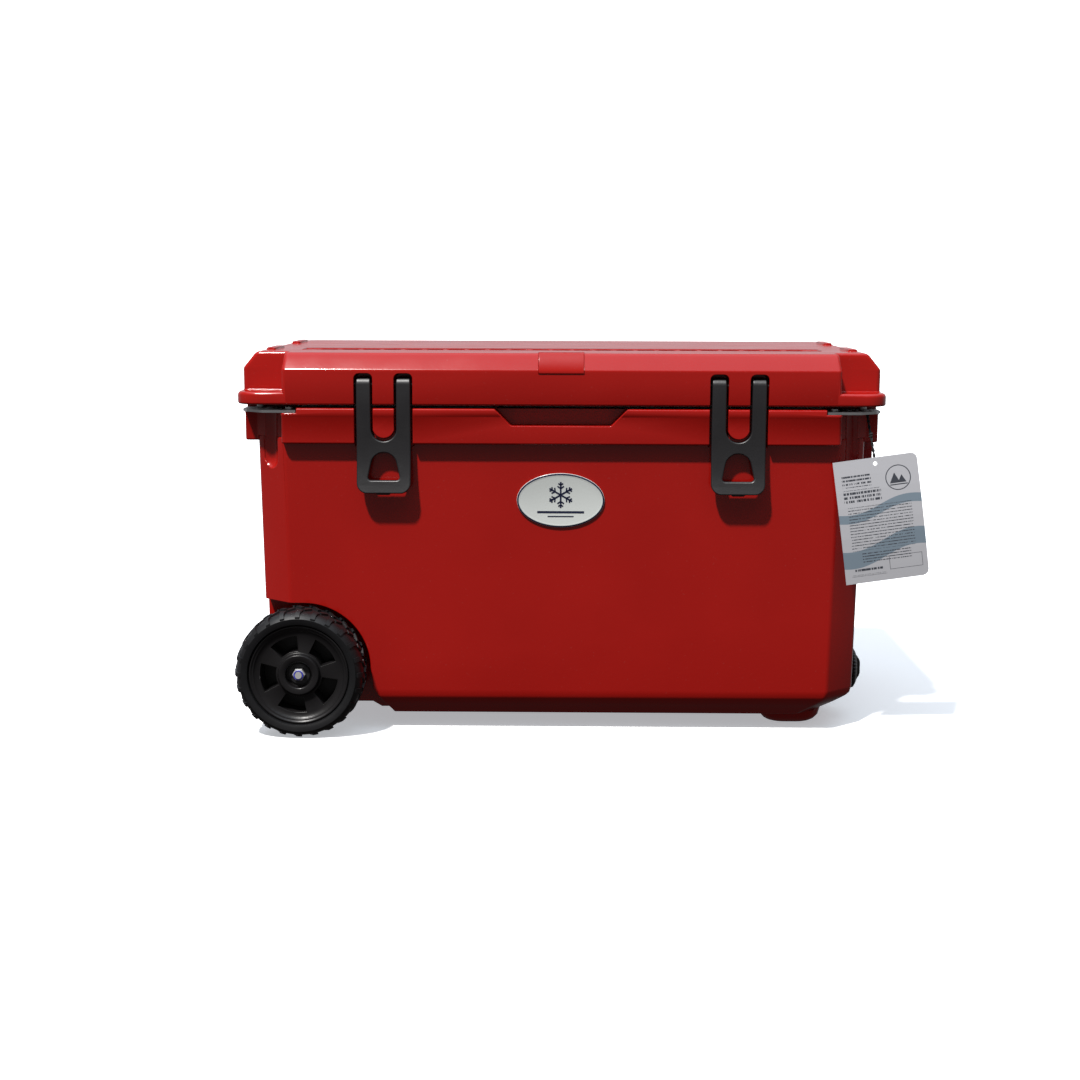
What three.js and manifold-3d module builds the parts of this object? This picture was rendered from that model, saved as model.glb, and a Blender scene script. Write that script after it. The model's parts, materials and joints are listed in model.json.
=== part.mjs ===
// Cooler on wheels: a rotomoulded ice chest with two wheels at one end and a swing handle at the other.
// Millimetres. +Z is up, the front (latch side) faces -Y, and the handle end is at +X.
// The origin is on the ground, under the middle of the whole cooler.
import * as THREE from "three";
import { mergeVertices } from "three/addons/utils/BufferGeometryUtils.js";
import Module from "manifold-3d";

const wasm = await Module();
wasm.setup();

// ---------------------------------------------------------------- driving dimensions

const FIT = 0.3; // gap between two pieces that touch
const PAST = 6; // how far a cutting solid runs past the face that it cuts
const SKIN = 5; // wall of the moulded plastic shells

const LID = {
  halfX: 372, // to the flange's edge
  halfY: 215,
  bottomZ: 386.3,
  ledgeZ: 399, // top of the flange in the corner notches
  bevelZ: 425.2,
  topZ: 443.5,
  shoulderX: 369, // end faces above the flange
  frontX: 318, // the front face runs between the corner notches
  notchY: 172,
  bevelX: 15,
  bevelY: 16,
  cornerR: 24,
  plugZ: 372, // the inner panel that drops into the tub
  plugInset: 7, // gap between that panel and the liner
};

const LID_CAVITY = { halfX: 329, halfY: 184 };
const RAIL = { inX: 337, outX: 348, inY: 62, outY: 134, height: 3 };
const RULER = { halfX: 308, fromY: -120, toY: -76, depth: 0.8 };
const CENTRE_TAB = { halfX: 26, out: 1.2 };

const BAND = { halfX: 369, halfY: 214, bottomZ: 342, topZ: 381, cornerX: 320, cornerY: 168, shelfZ: 375.2 };
const CHANNEL = { x: 341, y: 192, r: 13, endZ: 322 };
const FINGER_NOTCH = { topHalfX: 76.5, halfX: 57, topZ: 381.5, floorZ: 361.5, backY: -192 };
const HAND_HOLD = { x: -336, halfY: 60, bottomZ: 300 };

const TUB = {
  bottomZ: 19.4,
  wallTop: { z: 344, halfX: 352.5, halfY: 202 },
  wallBottom: { z: 50, halfX: 347, halfY: 196 },
  bevelFrontZ: 42,
  floor: { halfX: 311, halfY: 176 },
  chamferX: 34,
  chamferY: 30,
};

const LINER = {
  topX: 312,
  topY: 162,
  floorX: 300,
  floorY: 150,
  floorZ: 40,
  stepX: -203,
  stepZ: 174,
  cornerR: 26,
};
const FOAM_TOP_Z = 354;

const WHEEL = {
  x: -301,
  midY: 211,
  radius: 75,
  halfWidth: 28,
  rimR: 58,
  rimInnerR: 50,
  hubR: 24,
  hubOut: 25,
  hubIn: 35,
  seat: 15, // floor of the hub's recess, outwards from the wheel's middle
  recessR: 15,
  boreR: 10,
  windows: 5, // pockets between the spokes
  windowFloor: -9,
};
const WELL = { x: -299, radius: 79, y: 146, flareX: -186 };
const AXLE = { r: 6, threadR: 4, end: 26.5 };

const LATCH = {
  x: 202.3,
  pinY: -206,
  pinZ: 408,
  knuckleR: 8.5,
  halfWidth: 31,
  prong: 16.5,
  thick: 7,
  bridgeZ: 345,
  bottomZ: 286,
  backY: -206.5, // back of the latch where it crosses the rim band
  flareY: -221,
  pinR: 3,
};
const GROOVE = { width: 21, lidDepth: 24, topZ: 420.5, bandDepth: 13, ribR: 12.7, ribDepth: 8.1 };

const HINGE = { x: 230, y: 226, z: 384, r: 9, pinR: 4, lidHalf: 25, knuckle: 24 };

const HANDLE = {
  pivotX: 361,
  pivotZ: 318,
  armY: 78,
  reach: 132,
  rodR: 5,
  bend: 16,
  gripR: 15,
  gripHalf: 58,
  bossIn: 90,
  bossOut: 118,
  bossX: 371,
};
const POCKET = { halfY: 86, bottomZ: 152, topZ: 334, x: 329 };

const DRAIN = {
  y: -100,
  z: 58,
  padR: 30,
  padX: 349.5, // flat outside face round the bore
  innerPadX: 288,
  innerPadR: 17,
  boreR: 13,
  flangeR: 23,
  capR: 25,
  capX: 361,
};
const FOOT = { x: 281, y: 121, halfX: 36, halfY: 30, topHalfX: 48, topHalfY: 42 };
const BADGE = { z: 275, halfX: 50.5, halfZ: 31.5, thick: 3 };
const PLATE = {
  thick: 3,
  innerX: 303,
  innerY: 150,
  outerX: 367,
  outerY: 212,
  holeX: 351,
  holeY: 190,
  holeR: 5,
};

// The hang tag's string: out of the corner plate's hole and down past the corner to the card.
const STRING_R = 1.2;
const STRING_ROUTE = [
  [351, -190, 377],
  [351.8, -192, 370],
  [353, -195, 361],
  [354.6, -198, 351],
  [356.2, -200.8, 341],
  [357.6, -203.2, 332],
  [358.5, -204.8, 324.6],
];
const TAG = {
  x: 358.8, // its hole, which it hangs from
  y: -207,
  z: 320,
  width: 96,
  height: 143,
  thick: 0.8,
  tilt: 8,
  drop: 7, // from its top edge to the hole
  bow: 3,
  corner: 7,
  holeR: 2.4,
};

// ---------------------------------------------------------------- materials

const look = (color, roughness, metalness = 0) =>
  new THREE.MeshStandardMaterial({ color, roughness, metalness });
const RED = look(0xa3211b, 0.3);
const BLACK = look(0x1c1a1e, 0.55);
const TYRE = look(0x161616, 0.75);
const STEEL = look(0xb4b6b8, 0.35, 1);
const FOAM = look(0xe6d9a8, 0.9);
const SEAL = look(0xd6d6d2, 0.7);
const NYLON = look(0xdedbd0, 0.5);
const SILVER = look(0xd9dbe0, 0.35, 0.2);
const CARD = look(0xdfe0e6, 0.7);
const CORD = look(0x2a2a2c, 0.9);

// ---------------------------------------------------------------- solids

// A closed geometry as a solid, turned outwards if its faces point in.
function solid(geometry) {
  const bare = new THREE.BufferGeometry().setAttribute("position", geometry.getAttribute("position"));
  bare.setIndex(geometry.index);
  const merged = mergeVertices(bare, 1e-3);
  const vertProperties = merged.attributes.position.array;
  const triVerts = new Uint32Array(merged.index.array).filter((_, i, all) => {
    const t = i - (i % 3);
    return all[t] !== all[t + 1] && all[t + 1] !== all[t + 2] && all[t] !== all[t + 2];
  });
  const make = () => new wasm.Manifold(new wasm.Mesh({ numProp: 3, vertProperties, triVerts }));
  const made = make();
  if (made.volume() > 0) return made;
  for (let i = 0; i < triVerts.length; i += 3) {
    [triVerts[i + 1], triVerts[i + 2]] = [triVerts[i + 2], triVerts[i + 1]];
  }
  return make();
}

const join = (...solids) => solids.reduce((a, b) => a.add(b));
const cut = (body, ...tools) => tools.reduce((a, b) => a.subtract(b), body);

function mesh(name, body, material) {
  const { vertProperties, triVerts, numProp } = body.getMesh();
  const positions = new Float32Array((vertProperties.length / numProp) * 3);
  for (let i = 0; i * 3 < positions.length; i++) {
    positions.set(vertProperties.subarray(i * numProp, i * numProp + 3), i * 3);
  }
  const indexed = new THREE.BufferGeometry();
  indexed.setAttribute("position", new THREE.BufferAttribute(positions, 3));
  indexed.setIndex(new THREE.BufferAttribute(triVerts, 1));
  const geometry = indexed.toNonIndexed();
  geometry.computeVertexNormals();
  const made = new THREE.Mesh(geometry, material);
  made.name = name;
  return made;
}

function box(x0, x1, y0, y1, z0, z1) {
  const geometry = new THREE.BoxGeometry(Math.abs(x1 - x0), Math.abs(y1 - y0), Math.abs(z1 - z0));
  return solid(geometry.translate((x0 + x1) / 2, (y0 + y1) / 2, (z0 + z1) / 2));
}

// Turns +Z to the given axis.
const along = {
  x: (geometry) => geometry.rotateY(Math.PI / 2),
  y: (geometry) => geometry.rotateX(-Math.PI / 2),
  z: (geometry) => geometry,
};

// A round bar from `from` to `to` along an axis.
// It passes through (a, b), in X, Y, Z order without that axis.
function bar(axis, a, b, from, to, r, segments = 16) {
  const geometry = new THREE.CylinderGeometry(r, r, to - from, segments).rotateX(Math.PI / 2);
  along[axis](geometry.translate(0, 0, (from + to) / 2));
  const place = { x: [0, a, b], y: [a, 0, b], z: [a, b, 0] }[axis];
  return solid(geometry.translate(...place));
}

const tube = (axis, a, b, from, to, inner, outer, segments) =>
  cut(bar(axis, a, b, from, to, outer, segments), bar(axis, a, b, from - PAST, to + PAST, inner, segments));

// A flat outline in X and Y, raised from z0 to z1.
function prism(points, z0, z1) {
  const shape = new THREE.Shape(points.map(([x, y]) => new THREE.Vector2(x, y)));
  const geometry = new THREE.ExtrudeGeometry(shape, { depth: z1 - z0, bevelEnabled: false });
  return solid(geometry.translate(0, 0, z0));
}

// An outline in Y and Z, carried along X.
function prismX(points, x0, x1) {
  const shape = new THREE.Shape(points.map(([y, z]) => new THREE.Vector2(y, z)));
  const geometry = new THREE.ExtrudeGeometry(shape, { depth: x1 - x0, bevelEnabled: false });
  const turn = new THREE.Matrix4().makeBasis(
    new THREE.Vector3(0, 1, 0),
    new THREE.Vector3(0, 0, 1),
    new THREE.Vector3(1, 0, 0),
  );
  return solid(geometry.applyMatrix4(turn).translate(x0, 0, 0));
}

// An outline in X and Z, carried along Y.
function prismY(points, y0, y1) {
  const shape = new THREE.Shape(points.map(([x, z]) => new THREE.Vector2(x, z)));
  const geometry = new THREE.ExtrudeGeometry(shape, { depth: y1 - y0, bevelEnabled: false });
  return solid(geometry.rotateX(Math.PI / 2).translate(0, y1, 0));
}

// Outlines of the same number of points, one above the other, joined by flat bands.
function loft(sections) {
  const n = sections[0].outline.length;
  const positions = sections.flatMap(({ z, outline }) => outline.flatMap(([x, y]) => [x, y, z]));
  const index = [];
  for (let s = 0; s + 1 < sections.length; s++) {
    for (let i = 0; i < n; i++) {
      const a = s * n + i;
      const b = s * n + ((i + 1) % n);
      index.push(a, b, b + n, a, b + n, a + n);
    }
  }
  const cap = (s, flip) => {
    const outline = sections[s].outline.map(([x, y]) => new THREE.Vector2(x, y));
    for (const [a, b, c] of THREE.ShapeUtils.triangulateShape(outline, [])) {
      index.push(...(flip ? [a, c, b] : [a, b, c]).map((i) => i + s * n));
    }
  };
  cap(0, true);
  cap(sections.length - 1, false);
  const geometry = new THREE.BufferGeometry();
  geometry.setAttribute("position", new THREE.Float32BufferAttribute(positions, 3));
  geometry.setIndex(index);
  return solid(geometry);
}

// Points round an arc, in degrees.
function arc(cx, cy, r, from, to, steps) {
  return Array.from({ length: steps + 1 }, (_, i) => {
    const t = THREE.MathUtils.degToRad(from + ((to - from) * i) / steps);
    return [cx + r * Math.cos(t), cy + r * Math.sin(t)];
  });
}

function roundedRect(halfX, halfY, r, steps = 4) {
  return [
    ...arc(halfX - r, halfY - r, r, 0, 90, steps),
    ...arc(r - halfX, halfY - r, r, 90, 180, steps),
    ...arc(r - halfX, r - halfY, r, 180, 270, steps),
    ...arc(halfX - r, r - halfY, r, 270, 360, steps),
  ];
}

// A rectangle with its four corners cut off flat.
function chamferedRect(halfX, halfY, cx, cy) {
  return [
    [halfX, cy - halfY],
    [halfX, halfY - cy],
    [halfX - cx, halfY],
    [cx - halfX, halfY],
    [-halfX, halfY - cy],
    [-halfX, cy - halfY],
    [cx - halfX, -halfY],
    [halfX - cx, -halfY],
  ];
}

// A closed profile of [radius, height] pairs, turned about Z.
function turned(profile, segments) {
  const points = [...profile, profile[0]].map(([r, z]) => new THREE.Vector2(r, z));
  return solid(new THREE.LatheGeometry(points, segments).rotateX(Math.PI / 2));
}

// ---------------------------------------------------------------- tub

const CORNERS = [-1, 1].flatMap((sx) => [-1, 1].map((sy) => [sx, sy]));

// The tub's outside below the rim, `inset` inwards.
function tubBody(inset, topZ) {
  const { wallTop, wallBottom, floor, chamferX, chamferY } = TUB;
  const cutX = chamferX - inset / 2;
  const cutY = chamferY - inset / 2;
  const section = (z, halfX, halfY, grow) => ({
    z,
    outline: chamferedRect(halfX - inset, halfY - inset, cutX * grow, cutY * grow),
  });
  const rise = (TUB.bevelFrontZ - TUB.bottomZ) / (wallBottom.z - TUB.bottomZ);
  const bevelX = floor.halfX + (wallBottom.halfX - floor.halfX) * rise;
  return loft([
    section(TUB.bottomZ + inset, floor.halfX, floor.halfY, 0.75),
    section(TUB.bevelFrontZ, bevelX, wallBottom.halfY - 0.2, 0.95),
    section(wallBottom.z, wallBottom.halfX, wallBottom.halfY, 1),
    section(topZ, wallTop.halfX, wallTop.halfY, 1),
  ]);
}

// The inside of the tub, `outset` outwards: a deep well, with a step over the wheels.
function linerSpace(outset, topZ) {
  const section = (z, halfX, halfY) => ({
    z,
    outline: roundedRect(halfX + outset, halfY + outset, LINER.cornerR + outset, 3),
  });
  const space = loft([
    section(LINER.floorZ - outset, LINER.floorX - 12, LINER.floorY - 12),
    section(LINER.floorZ + 14, LINER.floorX, LINER.floorY),
    section(topZ, LINER.topX, LINER.topY),
  ]);
  const step = box(-400, LINER.stepX - outset, -300, 300, 0, LINER.stepZ - outset);
  return cut(space, step);
}

// The space round one wheel, open outwards, to the end and to the ground; side is -1 for the front wheel.
function wheelWell(side, outset) {
  const r = WELL.radius + outset;
  const outline = [
    [-420, WHEEL.radius + r],
    ...arc(WELL.x, WHEEL.radius, r, 90, 0, 10),
    [WELL.x + r + 3, 50],
    [WELL.flareX + outset, 0],
    [-420, 0],
  ];
  const near = WELL.y - outset;
  return side < 0 ? prismY(outline, -300, -near) : prismY(outline, near, 300);
}

const wheelWells = (outset) => join(wheelWell(-1, outset), wheelWell(1, outset));
const axleHole = (r) => bar("y", WHEEL.x, WHEEL.radius, -200, 200, r);
const drainHole = (r) => bar("x", DRAIN.y, DRAIN.z, DRAIN.innerPadX - PAST, DRAIN.padX + PAST, r);
const fillHole = (r, x, z0, z1) => bar("z", x, 0, z0, z1, r, 16);
const FILL = { x: 40, r: 10, lidX: 120 };

// The shallow pocket behind the swing handle.
function handlePocket(outset) {
  const { halfY, bottomZ, topZ, x } = POCKET;
  const y = halfY + outset;
  const slope = 18;
  return prism(
    [
      [x - outset, slope - y],
      [x - outset, y - slope],
      [420, y],
      [420, -y],
    ],
    bottomZ - outset,
    topZ + outset,
  );
}

// The hand hold under the rim at the wheel end.
function handHold(outset) {
  const { x, halfY, bottomZ } = HAND_HOLD;
  const y = halfY + outset;
  return box(-400, x + outset, -y, y, bottomZ - outset, BAND.bottomZ + outset - 0.5);
}

// The foam's space between the outer wall and the liner, `gap` smaller all round.
function tubCavity(gap) {
  const wall = SKIN + gap;
  return cut(
    tubBody(wall, FOAM_TOP_Z - gap),
    linerSpace(wall, FOAM_TOP_Z + PAST),
    wheelWells(wall),
    handlePocket(wall),
    handHold(wall),
    axleHole(AXLE.r + 1 + wall),
    drainHole(DRAIN.boreR + wall),
    ...CORNERS.map(([sx, sy]) => cornerChannel(sx, sy, wall - 1.5)),
  );
}

// The rim band: straight sides, with each corner cut back to a square notch.
function rimBand() {
  const { halfX, halfY, cornerX, cornerY, bottomZ, topZ } = BAND;
  const rightHalf = [
    [cornerX, -halfY],
    [cornerX, 16 - halfY],
    [halfX - 14, -cornerY],
    [halfX, -cornerY],
    [halfX, cornerY],
    [halfX - 14, cornerY],
    [cornerX, halfY - 16],
    [cornerX, halfY],
  ];
  const outline = [...rightHalf, ...rightHalf.map(([x, y]) => [-x, -y])];
  const inset = (d) => outline.map(([x, y]) => [x - Math.sign(x) * d, y - Math.sign(y) * d]);
  return loft([
    { z: bottomZ, outline: inset(1.5) },
    { z: bottomZ + 2, outline },
    { z: topZ - 3, outline },
    { z: topZ, outline: inset(2) },
  ]);
}

// The tie-down channel down each corner, with a rounded lower end, `outset` outwards.
function cornerChannel(sx, sy, outset) {
  const { endZ } = CHANNEL;
  const r = CHANNEL.r + outset;
  const x = sx * CHANNEL.x;
  const y = sy * CHANNEL.y;
  const shaft = bar("z", x, y, endZ, BAND.topZ + PAST, r, 12);
  const end = solid(new THREE.SphereGeometry(r, 12, 6).rotateX(Math.PI / 2).translate(x, y, endZ));
  return join(shaft, end);
}

// The lowered shelf on each rim corner that the steel plate lies on.
function plateShelf(sx, sy) {
  return box(sx * (PLATE.innerX - 1), sx * 400, sy * (PLATE.innerY - 1), sy * 300, BAND.shelfZ, 400);
}

function plateScrewPoints(sx) {
  return [
    [sx * (PLATE.innerX + 9), PLATE.outerY - 18],
    [sx * (PLATE.outerX - 16), PLATE.innerY + 8],
  ].map(([x, y]) => [x, -y]);
}

// The opening above the grip on the front band, where fingers reach the lid.
function fingerNotch() {
  const { topHalfX, halfX, topZ, floorZ, backY } = FINGER_NOTCH;
  const outline = [
    [-topHalfX, topZ + PAST],
    [-topHalfX, topZ],
    [-halfX, floorZ],
    [halfX, floorZ],
    [topHalfX, topZ],
    [topHalfX, topZ + PAST],
  ];
  return prismY(outline, -BAND.halfY - PAST, backY);
}

function latchGrooves(depthY, z0, z1) {
  const tools = [];
  for (const side of [-1, 1]) {
    for (const prong of [-1, 1]) {
      const x = side * LATCH.x + prong * (LATCH.halfWidth - LATCH.prong / 2);
      tools.push(box(x - GROOVE.width / 2, x + GROOVE.width / 2, -240, depthY, z0, z1));
    }
  }
  return tools;
}

// Trims the rib between two grooves to a round end, which sits in the latch's fork.
function ribEnd(side) {
  const x = side * LATCH.x;
  const z = LATCH.bridgeZ + LATCH.halfWidth - LATCH.prong;
  const reach = GROOVE.ribR + 0.3;
  const backY = GROOVE.ribDepth - BAND.halfY;
  return cut(
    box(x - reach, x + reach, -240, backY, BAND.bottomZ - 3, z),
    bar("y", x, z, -250, -190, GROOVE.ribR, 24),
  );
}

// The tub's half of one hinge: two knuckles either side of the lid's.
function tubKnuckles(sx) {
  const { x, y, z, r, lidHalf, knuckle } = HINGE;
  const pieces = [];
  for (const side of [-1, 1]) {
    const near = sx * x + side * (lidHalf + 1);
    const far = near + side * knuckle;
    const x0 = Math.min(near, far);
    pieces.push(bar("x", y, z, x0, x0 + knuckle, r, 16));
    pieces.push(
      prismX(
        [
          [BAND.halfY - 4, z - 26],
          [y + r, z],
          [y, z],
          [BAND.halfY - 4, z - 4],
        ],
        x0,
        x0 + knuckle,
      ),
    );
  }
  return join(...pieces);
}

const hingeBore = (sx) =>
  bar("x", HINGE.y, HINGE.z, sx * HINGE.x - 48, sx * HINGE.x + 48, HINGE.pinR + FIT, 12);

// The moulded post that holds one end of the swing handle.
function handlePost(sy) {
  const { bossIn, bossOut, bossX, pivotX, pivotZ } = HANDLE;
  const outline = [
    [340, 196],
    [bossX - 6, 222],
    [bossX, 236],
    [bossX, BAND.bottomZ + 2],
    [340, BAND.bottomZ + 2],
  ];
  const post = sy < 0 ? prismY(outline, -bossOut, -bossIn) : prismY(outline, bossIn, bossOut);
  const blindEnd = bossOut - 4;
  const mouth = bossIn - PAST;
  const hole = bar("y", pivotX, pivotZ, sy < 0 ? -blindEnd : mouth, sy < 0 ? -mouth : blindEnd, 8);
  return { post, hole };
}

function foot(sy) {
  const { x, y, halfX, halfY, topHalfX, topHalfY } = FOOT;
  const section = (z, hx, hy, r) => ({
    z,
    outline: roundedRect(hx, hy, r, 4).map(([px, py]) => [px + x, py + sy * y]),
  });
  return loft([
    section(0, halfX - 8, halfY - 8, 16),
    section(4, halfX, halfY, 18),
    section(TUB.bottomZ + 3, topHalfX, topHalfY, 22),
  ]);
}

function bracketScrewHoles() {
  const tools = [];
  for (const sy of [-1, 1]) {
    for (const dx of [-20, 20]) {
      const from = sy < 0 ? -WELL.y - 1 : WELL.y - 4.6;
      tools.push(bar("y", WHEEL.x + dx, WHEEL.radius, from, from + 5.6, 2.8, 10));
    }
  }
  return tools;
}

function tubShell() {
  const posts = [handlePost(-1), handlePost(1)];
  const pad = bar("x", DRAIN.y, DRAIN.z, DRAIN.padX - 40, DRAIN.padX, DRAIN.padR, 20);
  const outside = join(
    cut(tubBody(0, BAND.topZ - 8), wheelWells(0)),
    rimBand(),
    foot(-1),
    foot(1),
    pad,
  );
  const shaped = cut(
    outside,
    linerSpace(0, BAND.topZ + PAST),
    handlePocket(0),
    handHold(0),
    fingerNotch(),
    ...latchGrooves(GROOVE.bandDepth - BAND.halfY, BAND.bottomZ - 3, 400),
    ribEnd(-1),
    ribEnd(1),
    ...CORNERS.map(([sx, sy]) => cornerChannel(sx, sy, 0)),
    ...[-1, 1].map((sx) => plateShelf(sx, -1)),
    ...[-1, 1].flatMap((sx) => plateScrewPoints(sx).map(([x, y]) => bar("z", x, y, 366, 400, 2.8, 10))),
  );
  const innerPad = bar("x", DRAIN.y, DRAIN.z, DRAIN.innerPadX, LINER.floorX + 4, DRAIN.innerPadR, 16);
  const dressed = join(shaped, innerPad, tubKnuckles(-1), tubKnuckles(1), posts[0].post, posts[1].post);
  return cut(
    dressed,
    tubCavity(0),
    fillHole(FILL.r, FILL.x, 10, TUB.bottomZ + SKIN + 1),
    axleHole(AXLE.r + 1),
    drainHole(DRAIN.boreR),
    hingeBore(-1),
    hingeBore(1),
    posts[0].hole,
    posts[1].hole,
    ...bracketScrewHoles(),
  );
}

// ---------------------------------------------------------------- lid

// The lid's upper body: square notches at its two front corners, and a bevel all round its top.
function lidOutline(insetX, insetY, side) {
  const { shoulderX, frontX, notchY, halfY } = LID;
  const rear = arc(shoulderX - 20 - insetX, halfY - 20 - insetY, 20, 0, 90, 4);
  const right = [
    [frontX - side, insetY - halfY],
    [frontX - side, -notchY],
    [shoulderX - insetX, -notchY],
    ...rear,
  ];
  return [...right, ...right.map(([x, y]) => [-x, y]).reverse()];
}

// The foam's space inside the lid, `gap` smaller all round. It keeps clear of the notches.
function lidCavity(gap) {
  const wall = SKIN + 1 + gap;
  const outline = (inset) => {
    const x = LID_CAVITY.halfX - gap - inset;
    const y = LID_CAVITY.halfY - gap - inset;
    const frontX = LID.frontX - wall - inset;
    const notchY = LID.notchY - wall - inset;
    return [
      [-frontX, -y],
      [frontX, -y],
      [frontX, -notchY],
      [x, -notchY],
      [x, y],
      [-x, y],
      [-x, -notchY],
      [-frontX, -notchY],
    ];
  };
  const plugX = LINER.topX - LID.plugInset - SKIN - gap;
  const plugY = LINER.topY - LID.plugInset - SKIN - gap;
  return join(
    loft([
      { z: LID.bottomZ + SKIN + gap, outline: outline(0) },
      { z: LID.bevelZ + 4, outline: outline(0) },
      { z: LID.topZ - SKIN - gap, outline: outline(6) },
    ]),
    prism(roundedRect(plugX, plugY, 14, 2), LID.plugZ + SKIN + gap, LID.bottomZ + SKIN + gap + 2),
  );
}

const gasketOutline = (out) => roundedRect(LINER.topX + out, LINER.topY + out, LINER.cornerR + out, 3);
const GASKET = { inner: 8, outer: 16, bottomZ: 381.3, topZ: 388.3 };

// The raised rails along the lid's ends, with an open space for the hand between them.
function endRails() {
  const { inX, outX, inY, outY, height } = RAIL;
  const rails = [];
  for (const sx of [-1, 1]) {
    for (const sy of [-1, 1]) {
      const outline = [
        [sx * inX, sy * inY],
        [sx * outX, sy * (inY + 4)],
        [sx * outX, sy * (outY - 4)],
        [sx * inX, sy * outY],
      ];
      rails.push(prism(sx * sy > 0 ? outline : outline.reverse(), LID.topZ - 2, LID.topZ + height));
    }
  }
  return rails;
}

function lidKnuckle(sx) {
  const { x, y, z, r, lidHalf } = HINGE;
  const x0 = sx * x - lidHalf;
  const web = prismX(
    [
      [LID.halfY - 4, LID.bottomZ + 0.5],
      [y - 2, LID.bottomZ + 0.5],
      [y, z + r],
      [LID.halfY - 4, z + r + 12],
    ],
    x0,
    x0 + 2 * lidHalf,
  );
  return join(bar("x", y, z, x0, x0 + 2 * lidHalf, r, 16), web);
}

function lidShell() {
  const { halfX, halfY, bottomZ, ledgeZ, bevelZ, topZ, bevelX, bevelY, cornerR, plugZ, plugInset } = LID;
  const flange = loft([
    { z: bottomZ, outline: roundedRect(halfX - 3, halfY - 3, cornerR - 3) },
    { z: bottomZ + 3, outline: roundedRect(halfX, halfY, cornerR) },
    { z: ledgeZ - 3, outline: roundedRect(halfX, halfY, cornerR) },
    { z: ledgeZ, outline: roundedRect(halfX - 3, halfY - 3, cornerR - 3) },
  ]);
  const upper = loft([
    { z: bottomZ + 4, outline: lidOutline(0, 0, 0) },
    { z: bevelZ, outline: lidOutline(0, 0, 0) },
    { z: topZ, outline: lidOutline(bevelX, bevelY, 2) },
  ]);
  const plugX = LINER.topX - plugInset;
  const plugY = LINER.topY - plugInset;
  const plug = loft([
    { z: plugZ, outline: roundedRect(plugX - 4, plugY - 4, LINER.cornerR - 8, 3) },
    { z: bottomZ + 1, outline: roundedRect(plugX, plugY, LINER.cornerR - 4, 3) },
  ]);
  const tabY = -halfY - CENTRE_TAB.out;
  const tab = prismX(
    [
      [tabY, bevelZ - 4],
      [tabY, bevelZ],
      [tabY + bevelY, topZ + 0.6],
      [bevelY - halfY + 6, topZ + 0.6],
      [bevelY - halfY + 6, bevelZ - 4],
    ],
    -CENTRE_TAB.halfX,
    CENTRE_TAB.halfX,
  );
  const ruler = box(-RULER.halfX, RULER.halfX, RULER.fromY, RULER.toY, topZ - RULER.depth, topZ + PAST);
  const gasketGroove = cut(
    prism(gasketOutline(GASKET.outer + FIT), bottomZ - PAST, GASKET.topZ + FIT),
    prism(gasketOutline(GASKET.inner - FIT), bottomZ - 2 * PAST, GASKET.topZ + PAST),
  );
  const latchPinHoles = [-1, 1].map((side) =>
    bar("x", LATCH.pinY, LATCH.pinZ, side * LATCH.x - 40, side * LATCH.x + 40, LATCH.pinR + FIT, 12),
  );
  return cut(
    join(flange, upper, plug, tab, ...endRails(), lidKnuckle(-1), lidKnuckle(1)),
    lidCavity(0),
    fillHole(FILL.r, FILL.lidX, plugZ - PAST, plugZ + SKIN + 1),
    ruler,
    gasketGroove,
    ...latchGrooves(GROOVE.lidDepth - halfY, bottomZ - PAST, GROOVE.topZ),
    ...latchPinHoles,
    hingeBore(-1),
    hingeBore(1),
  );
}

// ---------------------------------------------------------------- latch

// Side view of the latch: round the pin, down the lid's grooves and out over the tub's wall.
function latchSide() {
  const { pinY, pinZ, knuckleR, thick, bridgeZ, bottomZ, backY, flareY } = LATCH;
  const front = pinY - knuckleR;
  return prismX(
    [
      ...arc(pinY, pinZ, knuckleR, 180, 0, 8),
      [pinY + knuckleR - 2, pinZ - 12],
      [front + thick, pinZ - 22],
      [backY, bridgeZ + 10],
      [backY, bridgeZ - 4],
      [flareY + thick, bottomZ + 1],
      [flareY, bottomZ],
      [backY - thick, bridgeZ + 2],
    ],
    -LATCH.halfWidth,
    LATCH.halfWidth,
  );
}

// Front view of the latch: two prongs, a bridge, and a pull tab with a D-shaped finger hole.
function latchFront() {
  const { halfWidth, prong, pinZ, knuckleR, bridgeZ, bottomZ } = LATCH;
  const gap = halfWidth - prong;
  const top = pinZ + knuckleR + 1;
  const corner = 12;
  const outline = [
    [-halfWidth, top],
    ...arc(corner - halfWidth, bottomZ + corner, corner, 180, 270, 4),
    ...arc(halfWidth - corner, bottomZ + corner, corner, 270, 360, 4),
    [halfWidth, top],
    [gap, top],
    ...arc(0, bridgeZ + gap, gap, 0, -180, 10),
    [-gap, top],
  ];
  const hole = [
    ...arc(0, 316, 17.5, 0, 180, 8).map(([x, z]) => [x, z + 1.5]),
    ...arc(-14.5, 302.5, 3, 180, 270, 2),
    ...arc(14.5, 302.5, 3, 270, 360, 2),
  ];
  return cut(prismY(outline, -260, -180), prismY(hole, -270, -170));
}

function latch(x) {
  const bore = bar("x", LATCH.pinY, LATCH.pinZ, -50, 50, LATCH.pinR + FIT, 12);
  return cut(latchSide().intersect(latchFront()), bore).translate([x, 0, 0]);
}

// ---------------------------------------------------------------- wheels

// Wheel pieces are drawn about Z with +Z pointing away from the cooler.
const WHEEL_TURN = { front: Math.PI / 2, rear: -Math.PI / 2 };

function tyre() {
  const { radius, halfWidth, rimR } = WHEEL;
  return turned(
    [
      [rimR + FIT, -24],
      [rimR + 8, -halfWidth],
      [radius - 4, 3 - halfWidth],
      [radius, 10 - halfWidth],
      [radius, halfWidth - 10],
      [radius - 4, halfWidth - 3],
      [rimR + 8, halfWidth],
      [rimR + FIT, 24],
    ],
    32,
  );
}

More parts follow.
